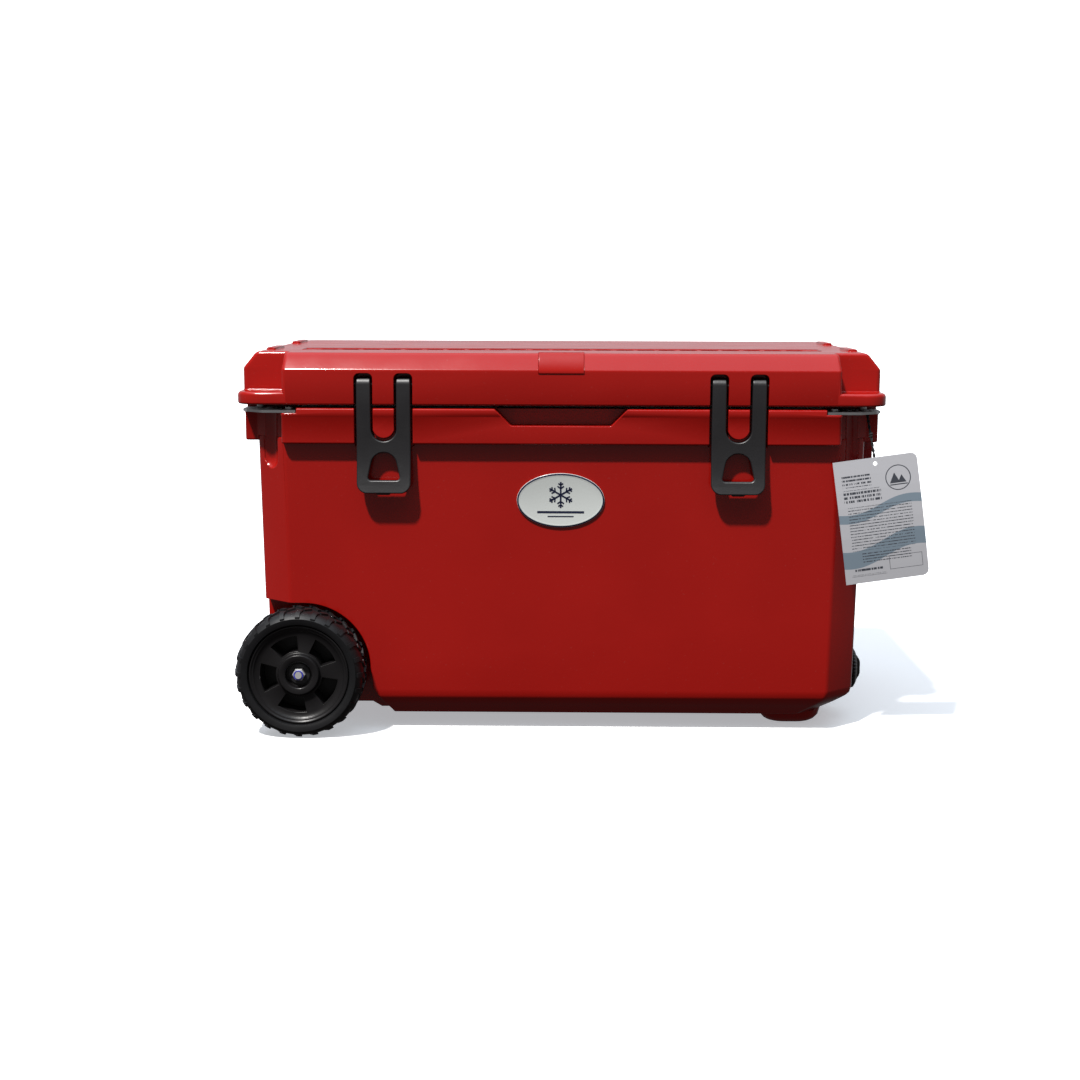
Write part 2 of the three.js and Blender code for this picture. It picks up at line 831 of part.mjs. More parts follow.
function rim() {
  const { rimR, rimInnerR, hubR, hubOut, hubIn, seat, recessR, boreR, windows, windowFloor } = WHEEL;
  const body = turned(
    [
      [boreR, -hubIn],
      [hubR - 6, -hubIn],
      [hubR, -12],
      [rimInnerR, -12],
      [rimInnerR, -22],
      [rimR, -22],
      [rimR, 22],
      [rimInnerR, 23],
      [rimInnerR - 3, 15],
      [hubR, 17],
      [hubR, hubOut],
      [recessR, hubOut],
      [recessR, seat],
      [boreR, seat],
    ],
    28,
  );
  const tools = [];
  for (let i = 0; i < windows; i++) {
    const middle = 42 + (360 / windows) * i;
    const outline = [
      ...arc(0, 0, hubR + 3, middle - 22, middle + 22, 2),
      ...arc(0, 0, rimInnerR - 5, middle + 22, middle - 22, 3),
    ];
    tools.push(prism(outline, windowFloor, 30));
  }
  return cut(body, ...tools);
}

function bushing() {
  return tube("z", 0, 0, -WHEEL.hubIn, WHEEL.seat - FIT, AXLE.r + FIT, WHEEL.boreR - FIT, 24);
}

function nylockNut() {
  const from = WHEEL.seat + 2.2;
  const hex = bar("z", 0, 0, from, from + 8, 7.5, 6);
  return cut(hex, bar("z", 0, 0, from - PAST, from + 8 + PAST, AXLE.threadR + FIT, 16));
}

function axle() {
  const shoulder = WHEEL.midY + WHEEL.seat;
  const end = WHEEL.midY + AXLE.end;
  return join(
    bar("y", WHEEL.x, WHEEL.radius, -shoulder, shoulder, AXLE.r, 24),
    bar("y", WHEEL.x, WHEEL.radius, -end, end, AXLE.threadR, 16),
  );
}

// ---------------------------------------------------------------- handle

// The bent rod: out of one post, down, across and up into the other post.
function handleBail() {
  const { pivotX, pivotZ, armY, reach, rodR, bend, bossOut } = HANDLE;
  const at = (y, z) => new THREE.Vector3(pivotX, y, z);
  const low = pivotZ - reach;
  const end = bossOut - 8;
  const path = new THREE.CurvePath();
  const line = (a, b) => path.add(new THREE.LineCurve3(a, b));
  const corner = (a, b, c) => path.add(new THREE.QuadraticBezierCurve3(a, b, c));
  const lip = 7;
  line(at(-end, pivotZ), at(-armY - lip, pivotZ));
  corner(at(-armY - lip, pivotZ), at(-armY, pivotZ), at(-armY, pivotZ - lip));
  line(at(-armY, pivotZ - lip), at(-armY, low + bend));
  corner(at(-armY, low + bend), at(-armY, low), at(bend - armY, low));
  line(at(bend - armY, low), at(armY - bend, low));
  corner(at(armY - bend, low), at(armY, low), at(armY, low + bend));
  line(at(armY, low + bend), at(armY, pivotZ - lip));
  corner(at(armY, pivotZ - lip), at(armY, pivotZ), at(armY + lip, pivotZ));
  line(at(armY + lip, pivotZ), at(end, pivotZ));
  const section = new THREE.Shape(arc(0, 0, rodR, 0, 315, 7).map(([x, y]) => new THREE.Vector2(x, y)));
  return solid(new THREE.ExtrudeGeometry(section, { steps: 40, bevelEnabled: false, extrudePath: path }));
}

function handleGrip() {
  const { gripR, gripHalf, rodR, pivotX, pivotZ, reach } = HANDLE;
  const inner = rodR + FIT;
  const sleeve = turned(
    [
      [inner, -gripHalf],
      [gripR - 4, -gripHalf],
      [gripR, 4 - gripHalf],
      [gripR, gripHalf - 4],
      [gripR - 4, gripHalf],
      [inner, gripHalf],
    ],
    24,
  );
  return sleeve.rotate([90, 0, 0]).translate([pivotX, 0, pivotZ - reach]);
}

function handleBush(sy) {
  const { bossIn, bossOut, pivotX, pivotZ, rodR } = HANDLE;
  const from = sy < 0 ? -bossOut + 4.5 : bossIn + 0.5;
  return tube("y", pivotX, pivotZ, from, from + bossOut - bossIn - 5, rodR + FIT, 8 - FIT, 20);
}

// ---------------------------------------------------------------- fittings

function cornerPlate(sx) {
  const { innerX, innerY, outerX, outerY, thick, holeX, holeY, holeR } = PLATE;
  const outline = [
    [innerX, -outerY],
    [outerX - 26, -outerY],
    [outerX - 6, -outerY + 16],
    [outerX, -outerY + 26],
    [outerX, -innerY],
    [outerX - 34, -innerY],
    [outerX - 40, -innerY - 6],
    [outerX - 40, -outerY + 30],
    [innerX, -outerY + 30],
  ].map(([x, y]) => [sx * x, y]);
  const z = BAND.shelfZ + FIT;
  const body = prism(sx > 0 ? outline : outline.reverse(), z, z + thick);
  return cut(
    body,
    bar("z", sx * holeX, -holeY, z - PAST, z + PAST, holeR, 16),
    ...plateScrewPoints(sx).map(([x, y]) => bar("z", x, y, z - PAST, z + PAST, 2.8, 10)),
  );
}

function plateScrew([x, y]) {
  const seat = BAND.shelfZ + PLATE.thick + 2 * FIT;
  return join(bar("z", x, y, seat, seat + 2.2, 5, 16), bar("z", x, y, seat - 10, seat + 1, 2.5, 10));
}

// The badge lies on the front wall, which leans out by its draft.
function badge() {
  const { wallTop, wallBottom } = TUB;
  const lean = (wallTop.halfY - wallBottom.halfY) / (wallTop.z - wallBottom.z);
  const wallY = wallBottom.halfY + lean * (BADGE.z - wallBottom.z);
  const draft = THREE.MathUtils.radToDeg(Math.atan(lean));
  const oval = (grow, y0, y1) =>
    prismY(
      arc(0, 0, 1, 0, 350, 35).map(([x, z]) => [x * (BADGE.halfX + grow), z * (BADGE.halfZ + grow)]),
      y0,
      y1,
    );
  const body = join(oval(0, -2, 0), oval(-2, -BADGE.thick, -1));
  return body.rotate([draft, 0, 0]).translate([0, -wallY - FIT, BADGE.z]);
}

function bracket(sy) {
  const y = WELL.y + FIT;
  const plate = box(WHEEL.x - 30, WHEEL.x + 30, y, y + 3.5, WHEEL.radius - 16, WHEEL.radius + 16);
  const made = cut(
    plate,
    bar("y", WHEEL.x, WHEEL.radius, y - PAST, y + 3.5 + PAST, AXLE.r + FIT, 24),
    ...[-20, 20].map((dx) => bar("y", WHEEL.x + dx, WHEEL.radius, y - PAST, y + 3.5 + PAST, 2.8, 10)),
  );
  return sy < 0 ? made.mirror([0, 1, 0]) : made;
}

function bracketScrew(sy, dx) {
  const seat = WELL.y + 3.5 + 2 * FIT;
  const made = join(
    bar("y", WHEEL.x + dx, WHEEL.radius, seat, seat + 3, 5, 16),
    bar("y", WHEEL.x + dx, WHEEL.radius, seat - 8, seat + 1, 2.5, 10),
  );
  return sy < 0 ? made.mirror([0, 1, 0]) : made;
}

function spacer(sy) {
  const from = WELL.y + 4.1;
  const to = WHEEL.midY - WHEEL.hubIn - FIT;
  const made = tube("y", WHEEL.x, WHEEL.radius, from, to, AXLE.r + FIT, 10, 20);
  return sy < 0 ? made.mirror([0, 1, 0]) : made;
}

// The drain: a flanged tube through the wall, a nut inside the tub, and a screw cap with a wing outside.
function drainTube() {
  const inside = DRAIN.innerPadX - 10;
  return cut(
    join(
      bar("x", DRAIN.y, DRAIN.z, DRAIN.padX + FIT, DRAIN.padX + 3.3, DRAIN.flangeR, 28),
      bar("x", DRAIN.y, DRAIN.z, inside, DRAIN.padX + 1, DRAIN.boreR - FIT, 24),
    ),
    bar("x", DRAIN.y, DRAIN.z, inside - PAST, DRAIN.padX + PAST, 9, 24),
  );
}

function drainNut() {
  return cut(
    bar("x", DRAIN.y, DRAIN.z, DRAIN.innerPadX - 7.3, DRAIN.innerPadX - FIT, 17, 8),
    bar("x", DRAIN.y, DRAIN.z, DRAIN.innerPadX - 20, DRAIN.innerPadX + PAST, DRAIN.boreR, 24),
  );
}

function drainSeal() {
  return tube("x", DRAIN.y, DRAIN.z, DRAIN.padX + 3.6, DRAIN.padX + 5.2, 9.5, 13.5, 24);
}

function drainCap() {
  const from = DRAIN.padX + 5.5;
  const wing = prismX(
    [
      [DRAIN.y - 5, DRAIN.z - 21],
      [DRAIN.y + 5, DRAIN.z - 21],
      [DRAIN.y + 5, DRAIN.z + 21],
      [DRAIN.y - 5, DRAIN.z + 21],
    ],
    from + 1,
    DRAIN.capX + 6,
  );
  return join(
    bar("x", DRAIN.y, DRAIN.z, from, DRAIN.capX, DRAIN.capR, 28),
    bar("x", DRAIN.y, DRAIN.z, DRAIN.padX - 16, from + 1, 9 - FIT, 20),
    wing,
  );
}

function fillPlug(x, z0, z1) {
  return join(fillHole(FILL.r - FIT, x, z0 + 1, z1), fillHole(FILL.r - 3, x, z0 + 0.4, z0 + 2));
}

// The card bows outwards a little from top to bottom and hangs askew on its string.
// Its left edge is square, and its right corners are rounded.
function hangTag() {
  const { width, height, thick, tilt, drop, bow, corner, holeR, x, y, z } = TAG;
  const half = width / 2;
  const rows = 8;
  const swell = (t) => -bow * Math.sin(Math.PI * t);
  const side = (offset) =>
    Array.from({ length: rows + 1 }, (_, i) => [swell(i / rows) + offset, drop - (height * i) / rows]);
  const sheet = prismX([...side(0), ...side(-thick).reverse()], -half, half);
  const outline = [
    [-half, drop],
    [-half, drop - height],
    ...arc(half - corner, drop - height + corner, corner, 270, 360, 3),
    ...arc(half - corner, drop - corner, corner, 0, 90, 3),
  ];
  const trimmed = sheet.intersect(prismY(outline, -20, 20));
  return cut(trimmed, bar("y", 0, 0, -20, 20, holeR, 12)).rotate([0, -tilt, 0]).translate([x, y, z]);
}

function tagString() {
  const route = STRING_ROUTE.map((p) => new THREE.Vector3(...p));
  const path = new THREE.CatmullRomCurve3(route, false, "centripetal");
  const section = new THREE.Shape(arc(0, 0, STRING_R, 0, 315, 7).map(([x, y]) => new THREE.Vector2(x, y)));
  return solid(new THREE.ExtrudeGeometry(section, { steps: 16, bevelEnabled: false, extrudePath: path }));
}

// ---------------------------------------------------------------- assembly

const cooler = new THREE.Group();

const tub = new THREE.Group();
tub.add(
  mesh("tub_shell", tubShell(), RED),
  mesh("tub_foam", tubCavity(FIT), FOAM),
  mesh("tub_fill_plug", fillPlug(FILL.x, TUB.bottomZ, TUB.bottomZ + SKIN - FIT), BLACK),
  mesh("badge", badge(), SILVER),
  mesh("axle", axle(), STEEL),
  mesh("drain_tube", drainTube(), BLACK),
  mesh("drain_nut", drainNut(), BLACK),
  mesh("tag_string", tagString(), CORD),
  mesh("hang_tag", hangTag(), CARD),
);
for (const [side, sx] of [["left", -1], ["right", 1]]) {
  tub.add(mesh(`corner_plate_${side}`, cornerPlate(sx), STEEL));
  plateScrewPoints(sx).forEach((point, i) => {
    tub.add(mesh(`corner_plate_screw_${side}_${i + 1}`, plateScrew(point), STEEL));
  });
  const pin = bar("x", HINGE.y, HINGE.z, sx * HINGE.x - 47, sx * HINGE.x + 47, HINGE.pinR, 12);
  tub.add(mesh(`hinge_pin_${side}`, pin, STEEL));
}
for (const [end, sy] of [["front", -1], ["rear", 1]]) {
  tub.add(
    mesh(`axle_bracket_${end}`, bracket(sy), STEEL),
    mesh(`wheel_spacer_${end}`, spacer(sy), NYLON),
    mesh(`handle_bush_${end}`, handleBush(sy), NYLON),
  );
  [-20, 20].forEach((dx, i) => {
    tub.add(mesh(`axle_bracket_screw_${end}_${i + 1}`, bracketScrew(sy, dx), STEEL));
  });
}
cooler.add(tub);

const lid = new THREE.Group();
lid.add(
  mesh("lid_shell", lidShell(), RED),
  mesh("lid_foam", lidCavity(FIT), FOAM),
  mesh("lid_fill_plug", fillPlug(FILL.lidX, LID.plugZ, LID.plugZ + SKIN - FIT), BLACK),
  mesh(
    "lid_gasket",
    cut(
      prism(gasketOutline(GASKET.outer), GASKET.bottomZ, GASKET.topZ),
      prism(gasketOutline(GASKET.inner), GASKET.bottomZ - PAST, GASKET.topZ + PAST),
    ),
    SEAL,
  ),
);
for (const [side, sx] of [["left", -1], ["right", 1]]) {
  const middle = sx * LATCH.x;
  const pin = bar("x", LATCH.pinY, LATCH.pinZ, middle - 39, middle + 39, LATCH.pinR, 12);
  lid.add(mesh(`latch_pin_${side}`, pin, STEEL), mesh(`latch_${side}`, latch(middle), BLACK));
}
cooler.add(lid);

for (const end of ["front", "rear"]) {
  const wheel = new THREE.Group();
  const washer = tube("z", 0, 0, WHEEL.seat + FIT, WHEEL.seat + 1.9, AXLE.threadR + FIT, 12, 20);
  wheel.add(
    mesh(`tyre_${end}`, tyre(), TYRE),
    mesh(`rim_${end}`, rim(), BLACK),
    mesh(`wheel_bush_${end}`, bushing(), NYLON),
    mesh(`washer_${end}`, washer, STEEL),
    mesh(`nylock_nut_${end}`, nylockNut(), STEEL),
  );
  wheel.rotation.x = WHEEL_TURN[end];
  wheel.position.set(WHEEL.x, end === "front" ? -WHEEL.midY : WHEEL.midY, WHEEL.radius);
  cooler.add(wheel);
}

const handle = new THREE.Group();
handle.add(mesh("handle_bail", handleBail(), STEEL), mesh("handle_grip", handleGrip(), BLACK));
cooler.add(handle);

cooler.add(mesh("drain_seal", drainSeal(), SEAL), mesh("drain_cap", drainCap(), BLACK));

export default cooler;
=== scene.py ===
"""Looks of the cooler on wheels.

Rounded red shells, treaded wheels, latches, badge, hang tag, lights and camera. Sizes are
millimetres until a mesh is made; Blender's own values are metres.
"""

import json
import math

import bmesh
import bpy
from mathutils import Matrix, Vector


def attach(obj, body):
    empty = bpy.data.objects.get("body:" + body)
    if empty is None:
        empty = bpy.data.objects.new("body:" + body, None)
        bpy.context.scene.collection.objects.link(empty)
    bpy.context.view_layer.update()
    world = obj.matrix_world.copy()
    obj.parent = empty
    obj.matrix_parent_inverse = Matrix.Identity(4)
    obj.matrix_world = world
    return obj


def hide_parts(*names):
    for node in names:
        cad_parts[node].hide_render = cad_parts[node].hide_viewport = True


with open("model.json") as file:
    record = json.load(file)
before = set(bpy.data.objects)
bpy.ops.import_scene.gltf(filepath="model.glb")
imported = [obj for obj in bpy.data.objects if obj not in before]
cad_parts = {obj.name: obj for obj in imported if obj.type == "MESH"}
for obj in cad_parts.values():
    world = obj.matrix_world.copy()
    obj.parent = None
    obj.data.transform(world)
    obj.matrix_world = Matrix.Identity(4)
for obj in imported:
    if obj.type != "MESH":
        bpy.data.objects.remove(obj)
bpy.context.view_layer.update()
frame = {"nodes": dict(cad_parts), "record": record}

MM = 0.001
PAST = 6  # how far a cutting shape runs past the face it cuts
OUTSIDE = 420  # a distance beyond every side of the tub, for shapes that cut in from outside

# ---- driving dimensions

LID = {
    "half_x": 372,
    "half_y": 215,
    "bottom": 384.6,
    "ledge": 399.2,
    "bevel": 425.2,
    "top": 443.5,
    "shoulder_x": 369,
    "front_x": 318,
    "notch_y": 172,
    "bevel_run": 15.5,
    "plug": 372,
}
BAND = {
    "half_x": 369,
    "half_y": 214,
    "bottom": 340,
    "top": 381,
    "corner_x": 320,
    "corner_y": 168,
    "shelf": 375.2,
    "lip": 2.5,
    "under": 2.4,
}
WALL_TOP = {"z": 346, "x": 352.5, "y": 202}
WALL_LOW = {"z": 50, "x": 347, "y": 196}
WALL_BEVEL_Z = 42
FLOOR = {"z": 16.6, "x": 311, "y": 176}
CHAMFER = (34, 30)
LINER_TOP = (312, 162)
LINER_FLOOR = (300, 150)
LINER_FLOOR_Z = 40
LINER_STEP = (-203, 174)
WHEEL = {"x": -301, "y": 211, "r": 75, "half": 28, "rim": 58, "inner": 50, "hub": 24}
LUG_HEIGHT = 2.2
WELL = {"x": -299, "r": 77, "y": 146, "flare": -186}
LATCH = {
    "x": 202.3,
    "pin_y": -206,
    "pin_z": 408,
    "knuckle": 8.5,
    "half": 31,
    "prong": 16.5,
    "thick": 7,
    "bridge": 345,
    "bottom": 284,
    "back_y": -206.5,
    "flare_y": -221,
}
GROOVE = {"width": 21, "lid_y": -191, "band_y": -201, "top": 420.5, "rib_r": 12.7}
RULER = {"inch": 25.4, "gap": 5.4, "low_y": -117, "high_y": -79, "deep": 2.6, "each_side": 11}
GASKET = {"x": 328.4, "y": 178.4, "corner": 42, "width": 8.7, "top": 388.6}
HINGE = {"x": 230, "y": 226, "z": 384, "r": 9, "half": 25, "knuckle": 24}
POCKET = {"half_y": 86, "bottom": 152, "top": 334, "x": 329}
HANDLE = {"x": 361, "z": 318, "reach": 132, "post_in": 90, "post_out": 118, "post_x": 371}
DRAIN = {"y": -100, "z": 58, "pad_r": 30, "pad_x": 349.5, "cap_x": 361, "cap_r": 25, "bore": 13}
FOOT = {"x": 277, "y": 123}
CHANNEL = {"x": 341, "y": 192, "r": 14.5, "end": 321, "sides": 32}
BADGE = {"z": 275, "x": 50.5, "h": 31.5, "y": -200.9}
TAG = {"x": 358.8, "y": -207, "z": 320, "tilt": 8}

# ---- materials


def material(name, color, roughness, metallic=0.0, specular=0.5):
    """A new material with one Principled shader; returns the material, its node tree and the shader."""
    made = bpy.data.materials.new(name)
    made.use_nodes = True
    made.diffuse_color = (*color, 1)
    tree = made.node_tree
    shader = tree.nodes["Principled BSDF"]
    shader.inputs["Base Color"].default_value = (*color, 1)
    shader.inputs["Roughness"].default_value = roughness
    shader.inputs["Metallic"].default_value = metallic
    shader.inputs["Specular IOR Level"].default_value = specular
    return made, tree, shader


def add_node(tree, kind, inputs, **settings):
    """A new shader node; each input is linked if it is given another node's output, and else set."""
    made = tree.nodes.new("ShaderNode" + kind)
    for key, value in settings.items():
        setattr(made, key, value)
    for key, value in inputs.items():
        if isinstance(value, bpy.types.NodeSocket):
            tree.links.new(value, made.inputs[key])
        else:
            made.inputs[key].default_value = value
    return made


def noise(tree, scale, detail=3.0, stretch=(1, 1, 1)):
    """Noise on the object's own coordinates."""
    place = add_node(tree, "TexCoord", {}).outputs["Object"]
    place = add_node(tree, "Mapping", {"Vector": place, "Scale": stretch}).outputs["Vector"]
    settings = {"Vector": place, "Scale": scale, "Detail": detail}
    return add_node(tree, "TexNoise", settings).outputs["Fac"]


def ramp(tree, value, low, high, from_value, to_value):
    """Maps value from (low, high) to (from_value, to_value)."""
    limits = {"From Min": low, "From Max": high, "To Min": from_value, "To Max": to_value}
    return add_node(tree, "MapRange", {"Value": value, **limits}).outputs["Result"]


def blend_colors(tree, factor, a, b):
    """Colour a where factor is 0 and b where it is 1; each is a colour or a node's output."""
    a, b = [(*color, 1) if isinstance(color, tuple) else color for color in (a, b)]
    first, second, result = 6, 7, 2  # the Mix node's colour inputs and its colour output
    inputs = {"Factor": factor, first: a, second: b}
    return add_node(tree, "Mix", inputs, data_type="RGBA").outputs[result]


def bump(tree, shader, height, strength, distance):
    """Raises the surface by height; distance is in metres."""
    settings = {"Strength": strength, "Distance": distance, "Height": height}
    tree.links.new(add_node(tree, "Bump", settings).outputs["Normal"], shader.inputs["Normal"])


def grained(name, color, roughness, spread, grain, depth, metallic=0.0, specular=0.5):
    """A moulded surface: fine grain, with patches of slightly different roughness."""
    made, tree, shader = material(name, color, roughness, metallic, specular)
    patches = ramp(tree, noise(tree, 35, 4), 0.3, 0.7, roughness - spread, roughness + spread)
    tree.links.new(patches, shader.inputs["Roughness"])
    bump(tree, shader, noise(tree, grain, 2), 0.5, depth)
    return made


def red_plastic():
    """Glossy moulded polyethylene, with a faint orange peel, mottled patches and pale dust specks."""
    deep = (0.325, 0.006, 0.0038)
    made, tree, shader = material("red_plastic", deep, 0.17, specular=0.45)
    mottle = ramp(tree, noise(tree, 9, 5), 0.35, 0.7, 0.0, 1.0)
    tone = blend_colors(tree, mottle, deep, (0.35, 0.007, 0.0045))
    specks = ramp(tree, noise(tree, 420, 1), 0.72, 0.80, 0.0, 0.12)
    dusty = blend_colors(tree, specks, tone, (0.32, 0.12, 0.11))
    tree.links.new(dusty, shader.inputs["Base Color"])
    tree.links.new(ramp(tree, noise(tree, 24, 2), 0.3, 0.7, 0.15, 0.20), shader.inputs["Roughness"])
    bump(tree, shader, noise(tree, 240, 1), 0.12, 0.0003)
    return made


def brushed_steel():
    """Drawn steel, with fine lines across it."""
    made, tree, shader = material("brushed_steel", (0.55, 0.56, 0.57), 0.32, 1.0)
    lines = noise(tree, 90, 2, (1, 40, 40))
    tree.links.new(ramp(tree, lines, 0.3, 0.7, 0.24, 0.42), shader.inputs["Roughness"])
    bump(tree, shader, lines, 0.25, 0.0002)
    return made


RED = red_plastic()
# painted shade: a dark, dull look for the linings inside the ruler's cells
RULER_CELL_SHADE = grained("ruler_cell_painted_shade", (0.05, 0.004, 0.004), 0.8, 0.08, 300, 0.0003, specular=0.1)
# steel darkened to paint the shade on the latch pins; the washers use it too
DARK_STEEL = grained("dark_steel", (0.035, 0.035, 0.038), 0.38, 0.06, 300, 0.0001, metallic=0.6)
LATCH_BLACK = (0.0068, 0.0062, 0.0078)
LATCH_RUBBER = grained("latch_rubber", LATCH_BLACK, 0.43, 0.03, 420, 0.00015, specular=0.8)
BLACK = grained("black_plastic", (0.009, 0.009, 0.0095), 0.36, 0.06, 380, 0.0003)
RIM_BLACK = grained("rim_plastic", (0.0085, 0.0078, 0.0085), 0.33, 0.06, 340, 0.0002, specular=0.35)
TYRE_BLACK = grained("tyre", (0.0055, 0.0055, 0.0065), 0.46, 0.05, 260, 0.0002, specular=0.4)
GRIP_BLACK = grained("grip_rubber", (0.02, 0.02, 0.021), 0.6, 0.06, 300, 0.0004)
STEEL = brushed_steel()
ZINC = grained("zinc", (0.52, 0.52, 0.53), 0.34, 0.08, 260, 0.0001, metallic=0.35)
NYLON = grained("nylon", (0.68, 0.66, 0.6), 0.5, 0.05, 300, 0.0002)
SEAL = grained("seal", (0.6, 0.6, 0.56), 0.7, 0.05, 240, 0.0003)
FOAM = grained("foam", (0.8, 0.7, 0.42), 0.9, 0.05, 160, 0.001)
NUT_BLUE = grained("nut_nylon", (0.045, 0.05, 0.42), 0.45, 0.05, 300, 0.0001)
BADGE_WHITE = grained("badge_silver", (0.58, 0.61, 0.60), 0.3, 0.05, 500, 0.0001)
BADGE_NAVY = grained("badge_navy", (0.012, 0.016, 0.045), 0.3, 0.04, 400, 0.0001)
CORD = grained("cord", (0.012, 0.012, 0.013), 0.85, 0.08, 900, 0.0004)

# ---- outlines and meshes


def arc(cx, cy, r, start, end, steps):
    """Points round an arc, in degrees."""
    turns = [math.radians(start + (end - start) * i / steps) for i in range(steps + 1)]
    return [(cx + r * math.cos(t), cy + r * math.sin(t)) for t in turns]


def rounded(points, radii, steps=5):
    """A polygon with each corner replaced by an arc; a radius of 0 keeps the corner's point."""
    out = []
    n = len(points)
    radii = radii if isinstance(radii, (list, tuple)) else [radii] * n
    for i, point in enumerate(points):
        here = Vector(point)
        a = (Vector(points[i - 1]) - here).normalized()
        b = (Vector(points[(i + 1) % n]) - here).normalized()
        half = math.acos(max(-1, min(1, a.dot(b)))) / 2
        if radii[i] <= 0 or half > math.pi / 2 - 0.01:
            out.append(tuple(here))
            continue
        reach = radii[i] / math.tan(half)
        start, end = here + a * reach, here + b * reach
        centre = here + (a + b).normalized() * (radii[i] / math.sin(half))
        first = math.atan2(start.y - centre.y, start.x - centre.x)
        turn = math.atan2(end.y - centre.y, end.x - centre.x) - first
        turn = (turn + math.pi) % (2 * math.pi) - math.pi
        for s in range(steps + 1):
            t = first + turn * s / steps
            out.append((centre.x + radii[i] * math.cos(t), centre.y + radii[i] * math.sin(t)))
    return out


def inset(points, distances):
    """Moves each edge of a counter-clockwise polygon inwards; edge i runs from point i to the next."""
    n = len(points)
    moved = []
    for i in range(n):
        a, b = Vector(points[i]), Vector(points[(i + 1) % n])
        along = (b - a).normalized()
        normal = Vector((-along.y, along.x))
        moved.append((a + normal * distances[i], along))
    out = []
    for i in range(n):
        (p, u), (q, v) = moved[i - 1], moved[i]
        cross = u.x * v.y - u.y * v.x
        t = ((q - p).x * v.y - (q - p).y * v.x) / cross
        out.append(tuple(p + u * t))
    return out


def inset_all(outline, distance):
    return inset(outline, [distance] * len(outline))


def rectangle(half_x, half_y, r, steps=5):
    """A rectangle about the origin with rounded corners."""
    corners = [(-half_x, -half_y), (half_x, -half_y), (half_x, half_y), (-half_x, half_y)]
    return rounded(corners, r, steps)


def chamfered(half_x, half_y, cut_x, cut_y):
    """A rectangle with its corners cut off flat, counter-clockwise."""
    right = [(half_x - cut_x, -half_y), (half_x, cut_y - half_y)]
    right += [(x, -y) for x, y in reversed(right)]
    left = [(-x, -y) for x, y in right]
    return [left[3], *right, *left[:3]]


def add_object(name, bm):
    """Links a mesh, given in millimetres, as an object in metres with its faces turned outwards."""
    bmesh.ops.recalc_face_normals(bm, faces=bm.faces)
    bmesh.ops.scale(bm, vec=(MM, MM, MM), verts=bm.verts)
    data = bpy.data.meshes.new(name)
    bm.to_mesh(data)
    bm.free()
    made = bpy.data.objects.new(name, data)
    bpy.context.scene.collection.objects.link(made)
    return made


def rings(bm, sections, cap=True, wrap=False):
    """Joins rings of points, all with the same count, into a skin."""
    loops = [[bm.verts.new(p) for p in section] for section in sections]
    n = len(loops[0])
    pairs = list(zip(loops, loops[1:]))
    if wrap:
        pairs.append((loops[-1], loops[0]))
    for low, high in pairs:
        for i in range(n):
            j = (i + 1) % n
            bm.faces.new((low[i], low[j], high[j], high[i]))
    if cap and not wrap:
        bm.faces.new(loops[0][::-1])
        bm.faces.new(loops[-1])


def skin(name, sections, cap=True, wrap=False):
    """A piece made of one skin of rings."""
    bm = bmesh.new()
    rings(bm, sections, cap, wrap)
    return add_object(name, bm)


def loft(name, levels):
    """levels: (z, outline) pairs, from the bottom up."""
    return skin(name, [[(x, y, z) for x, y in outline] for z, outline in levels])


def prism(name, outline, low, high, axis="z"):
    """An outline carried along an axis. For x it is given in (y, z), and for y in (x, z)."""
    spot = "xyz".index(axis)
    return skin(name, [[(*point[:spot], c, *point[spot:]) for point in outline] for c in (low, high)])


def box(name, x0, x1, y0, y1, z0, z1):
    return prism(name, [(x0, y0), (x1, y0), (x1, y1), (x0, y1)], z0, z1)


def circle(a, b, r, segments=48):
    return arc(a, b, r, 0, 360, segments)[:-1]


def bar(name, axis, a, b, low, high, r, segments=48):
    """A round bar along an axis, centred on (a, b) in the plane across it."""
    return prism(name, circle(a, b, r, segments), low, high, axis)


def lathe(bm, profile, segments):
    """Turns a closed loop of (radius, y) points about the Y axis."""
    sections = []
    for i in range(segments):
        t = 2 * math.pi * i / segments
        sections.append([(r * math.cos(t), y, r * math.sin(t)) for r, y in profile])
    rings(bm, sections, cap=False, wrap=True)


def turned(name, profile, segments):
    """A piece made of one turned profile."""
    bm = bmesh.new()
    lathe(bm, profile, segments)
    return add_object(name, bm)


def combine(base, tools, operation):
    """base with all the tools added, or taken away, as one clean mesh. The tools are used up."""
    group = bpy.data.collections.new("tools")
    for tool in tools:
        group.objects.link(tool)
    step = base.modifiers.new("combine", "BOOLEAN")
    step.operation = operation
    step.solver = "EXACT"
    step.operand_type = "COLLECTION"
    step.collection = group
    view = bpy.context.evaluated_depsgraph_get()
    result = bpy.data.meshes.new_from_object(base.evaluated_get(view))
    base.modifiers.clear()
    base.data = result
    for tool in tools:
        bpy.data.objects.remove(tool)
    bpy.data.collections.remove(group)
    return base


def shift(obj, x, y, z):
    """Moves a piece's mesh, in millimetres, and leaves its object at the origin."""
    obj.data.transform(Matrix.Translation((x * MM, y * MM, z * MM)))
    return obj


def soften(obj, width=1.0, segments=2, angle=40):
    """Rounds the sharp edges and smooths the shading between them."""
    for polygon in obj.data.polygons:
        polygon.use_smooth = True
    obj.data.set_sharp_from_angle(angle=math.radians(angle))
    if width:
        step = obj.modifiers.new("edges", "BEVEL")
        step.width = width * MM
        step.segments = segments
        step.limit_method = "ANGLE"
        step.angle_limit = math.radians(angle)
        step.use_clamp_overlap = False
        step.harden_normals = True
    return obj


def finished(obj, name, look, body, replaces=()):
    """Names a piece, gives it its material, ties it to its CAD body and hides the CAD nodes it stands in
    for.
    """
    obj.name = name
    obj.data.name = name
    obj.data.materials.clear()
    obj.data.materials.append(look)
    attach(obj, body)
    if replaces:
        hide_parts(*replaces)
    return obj


# ---- lid


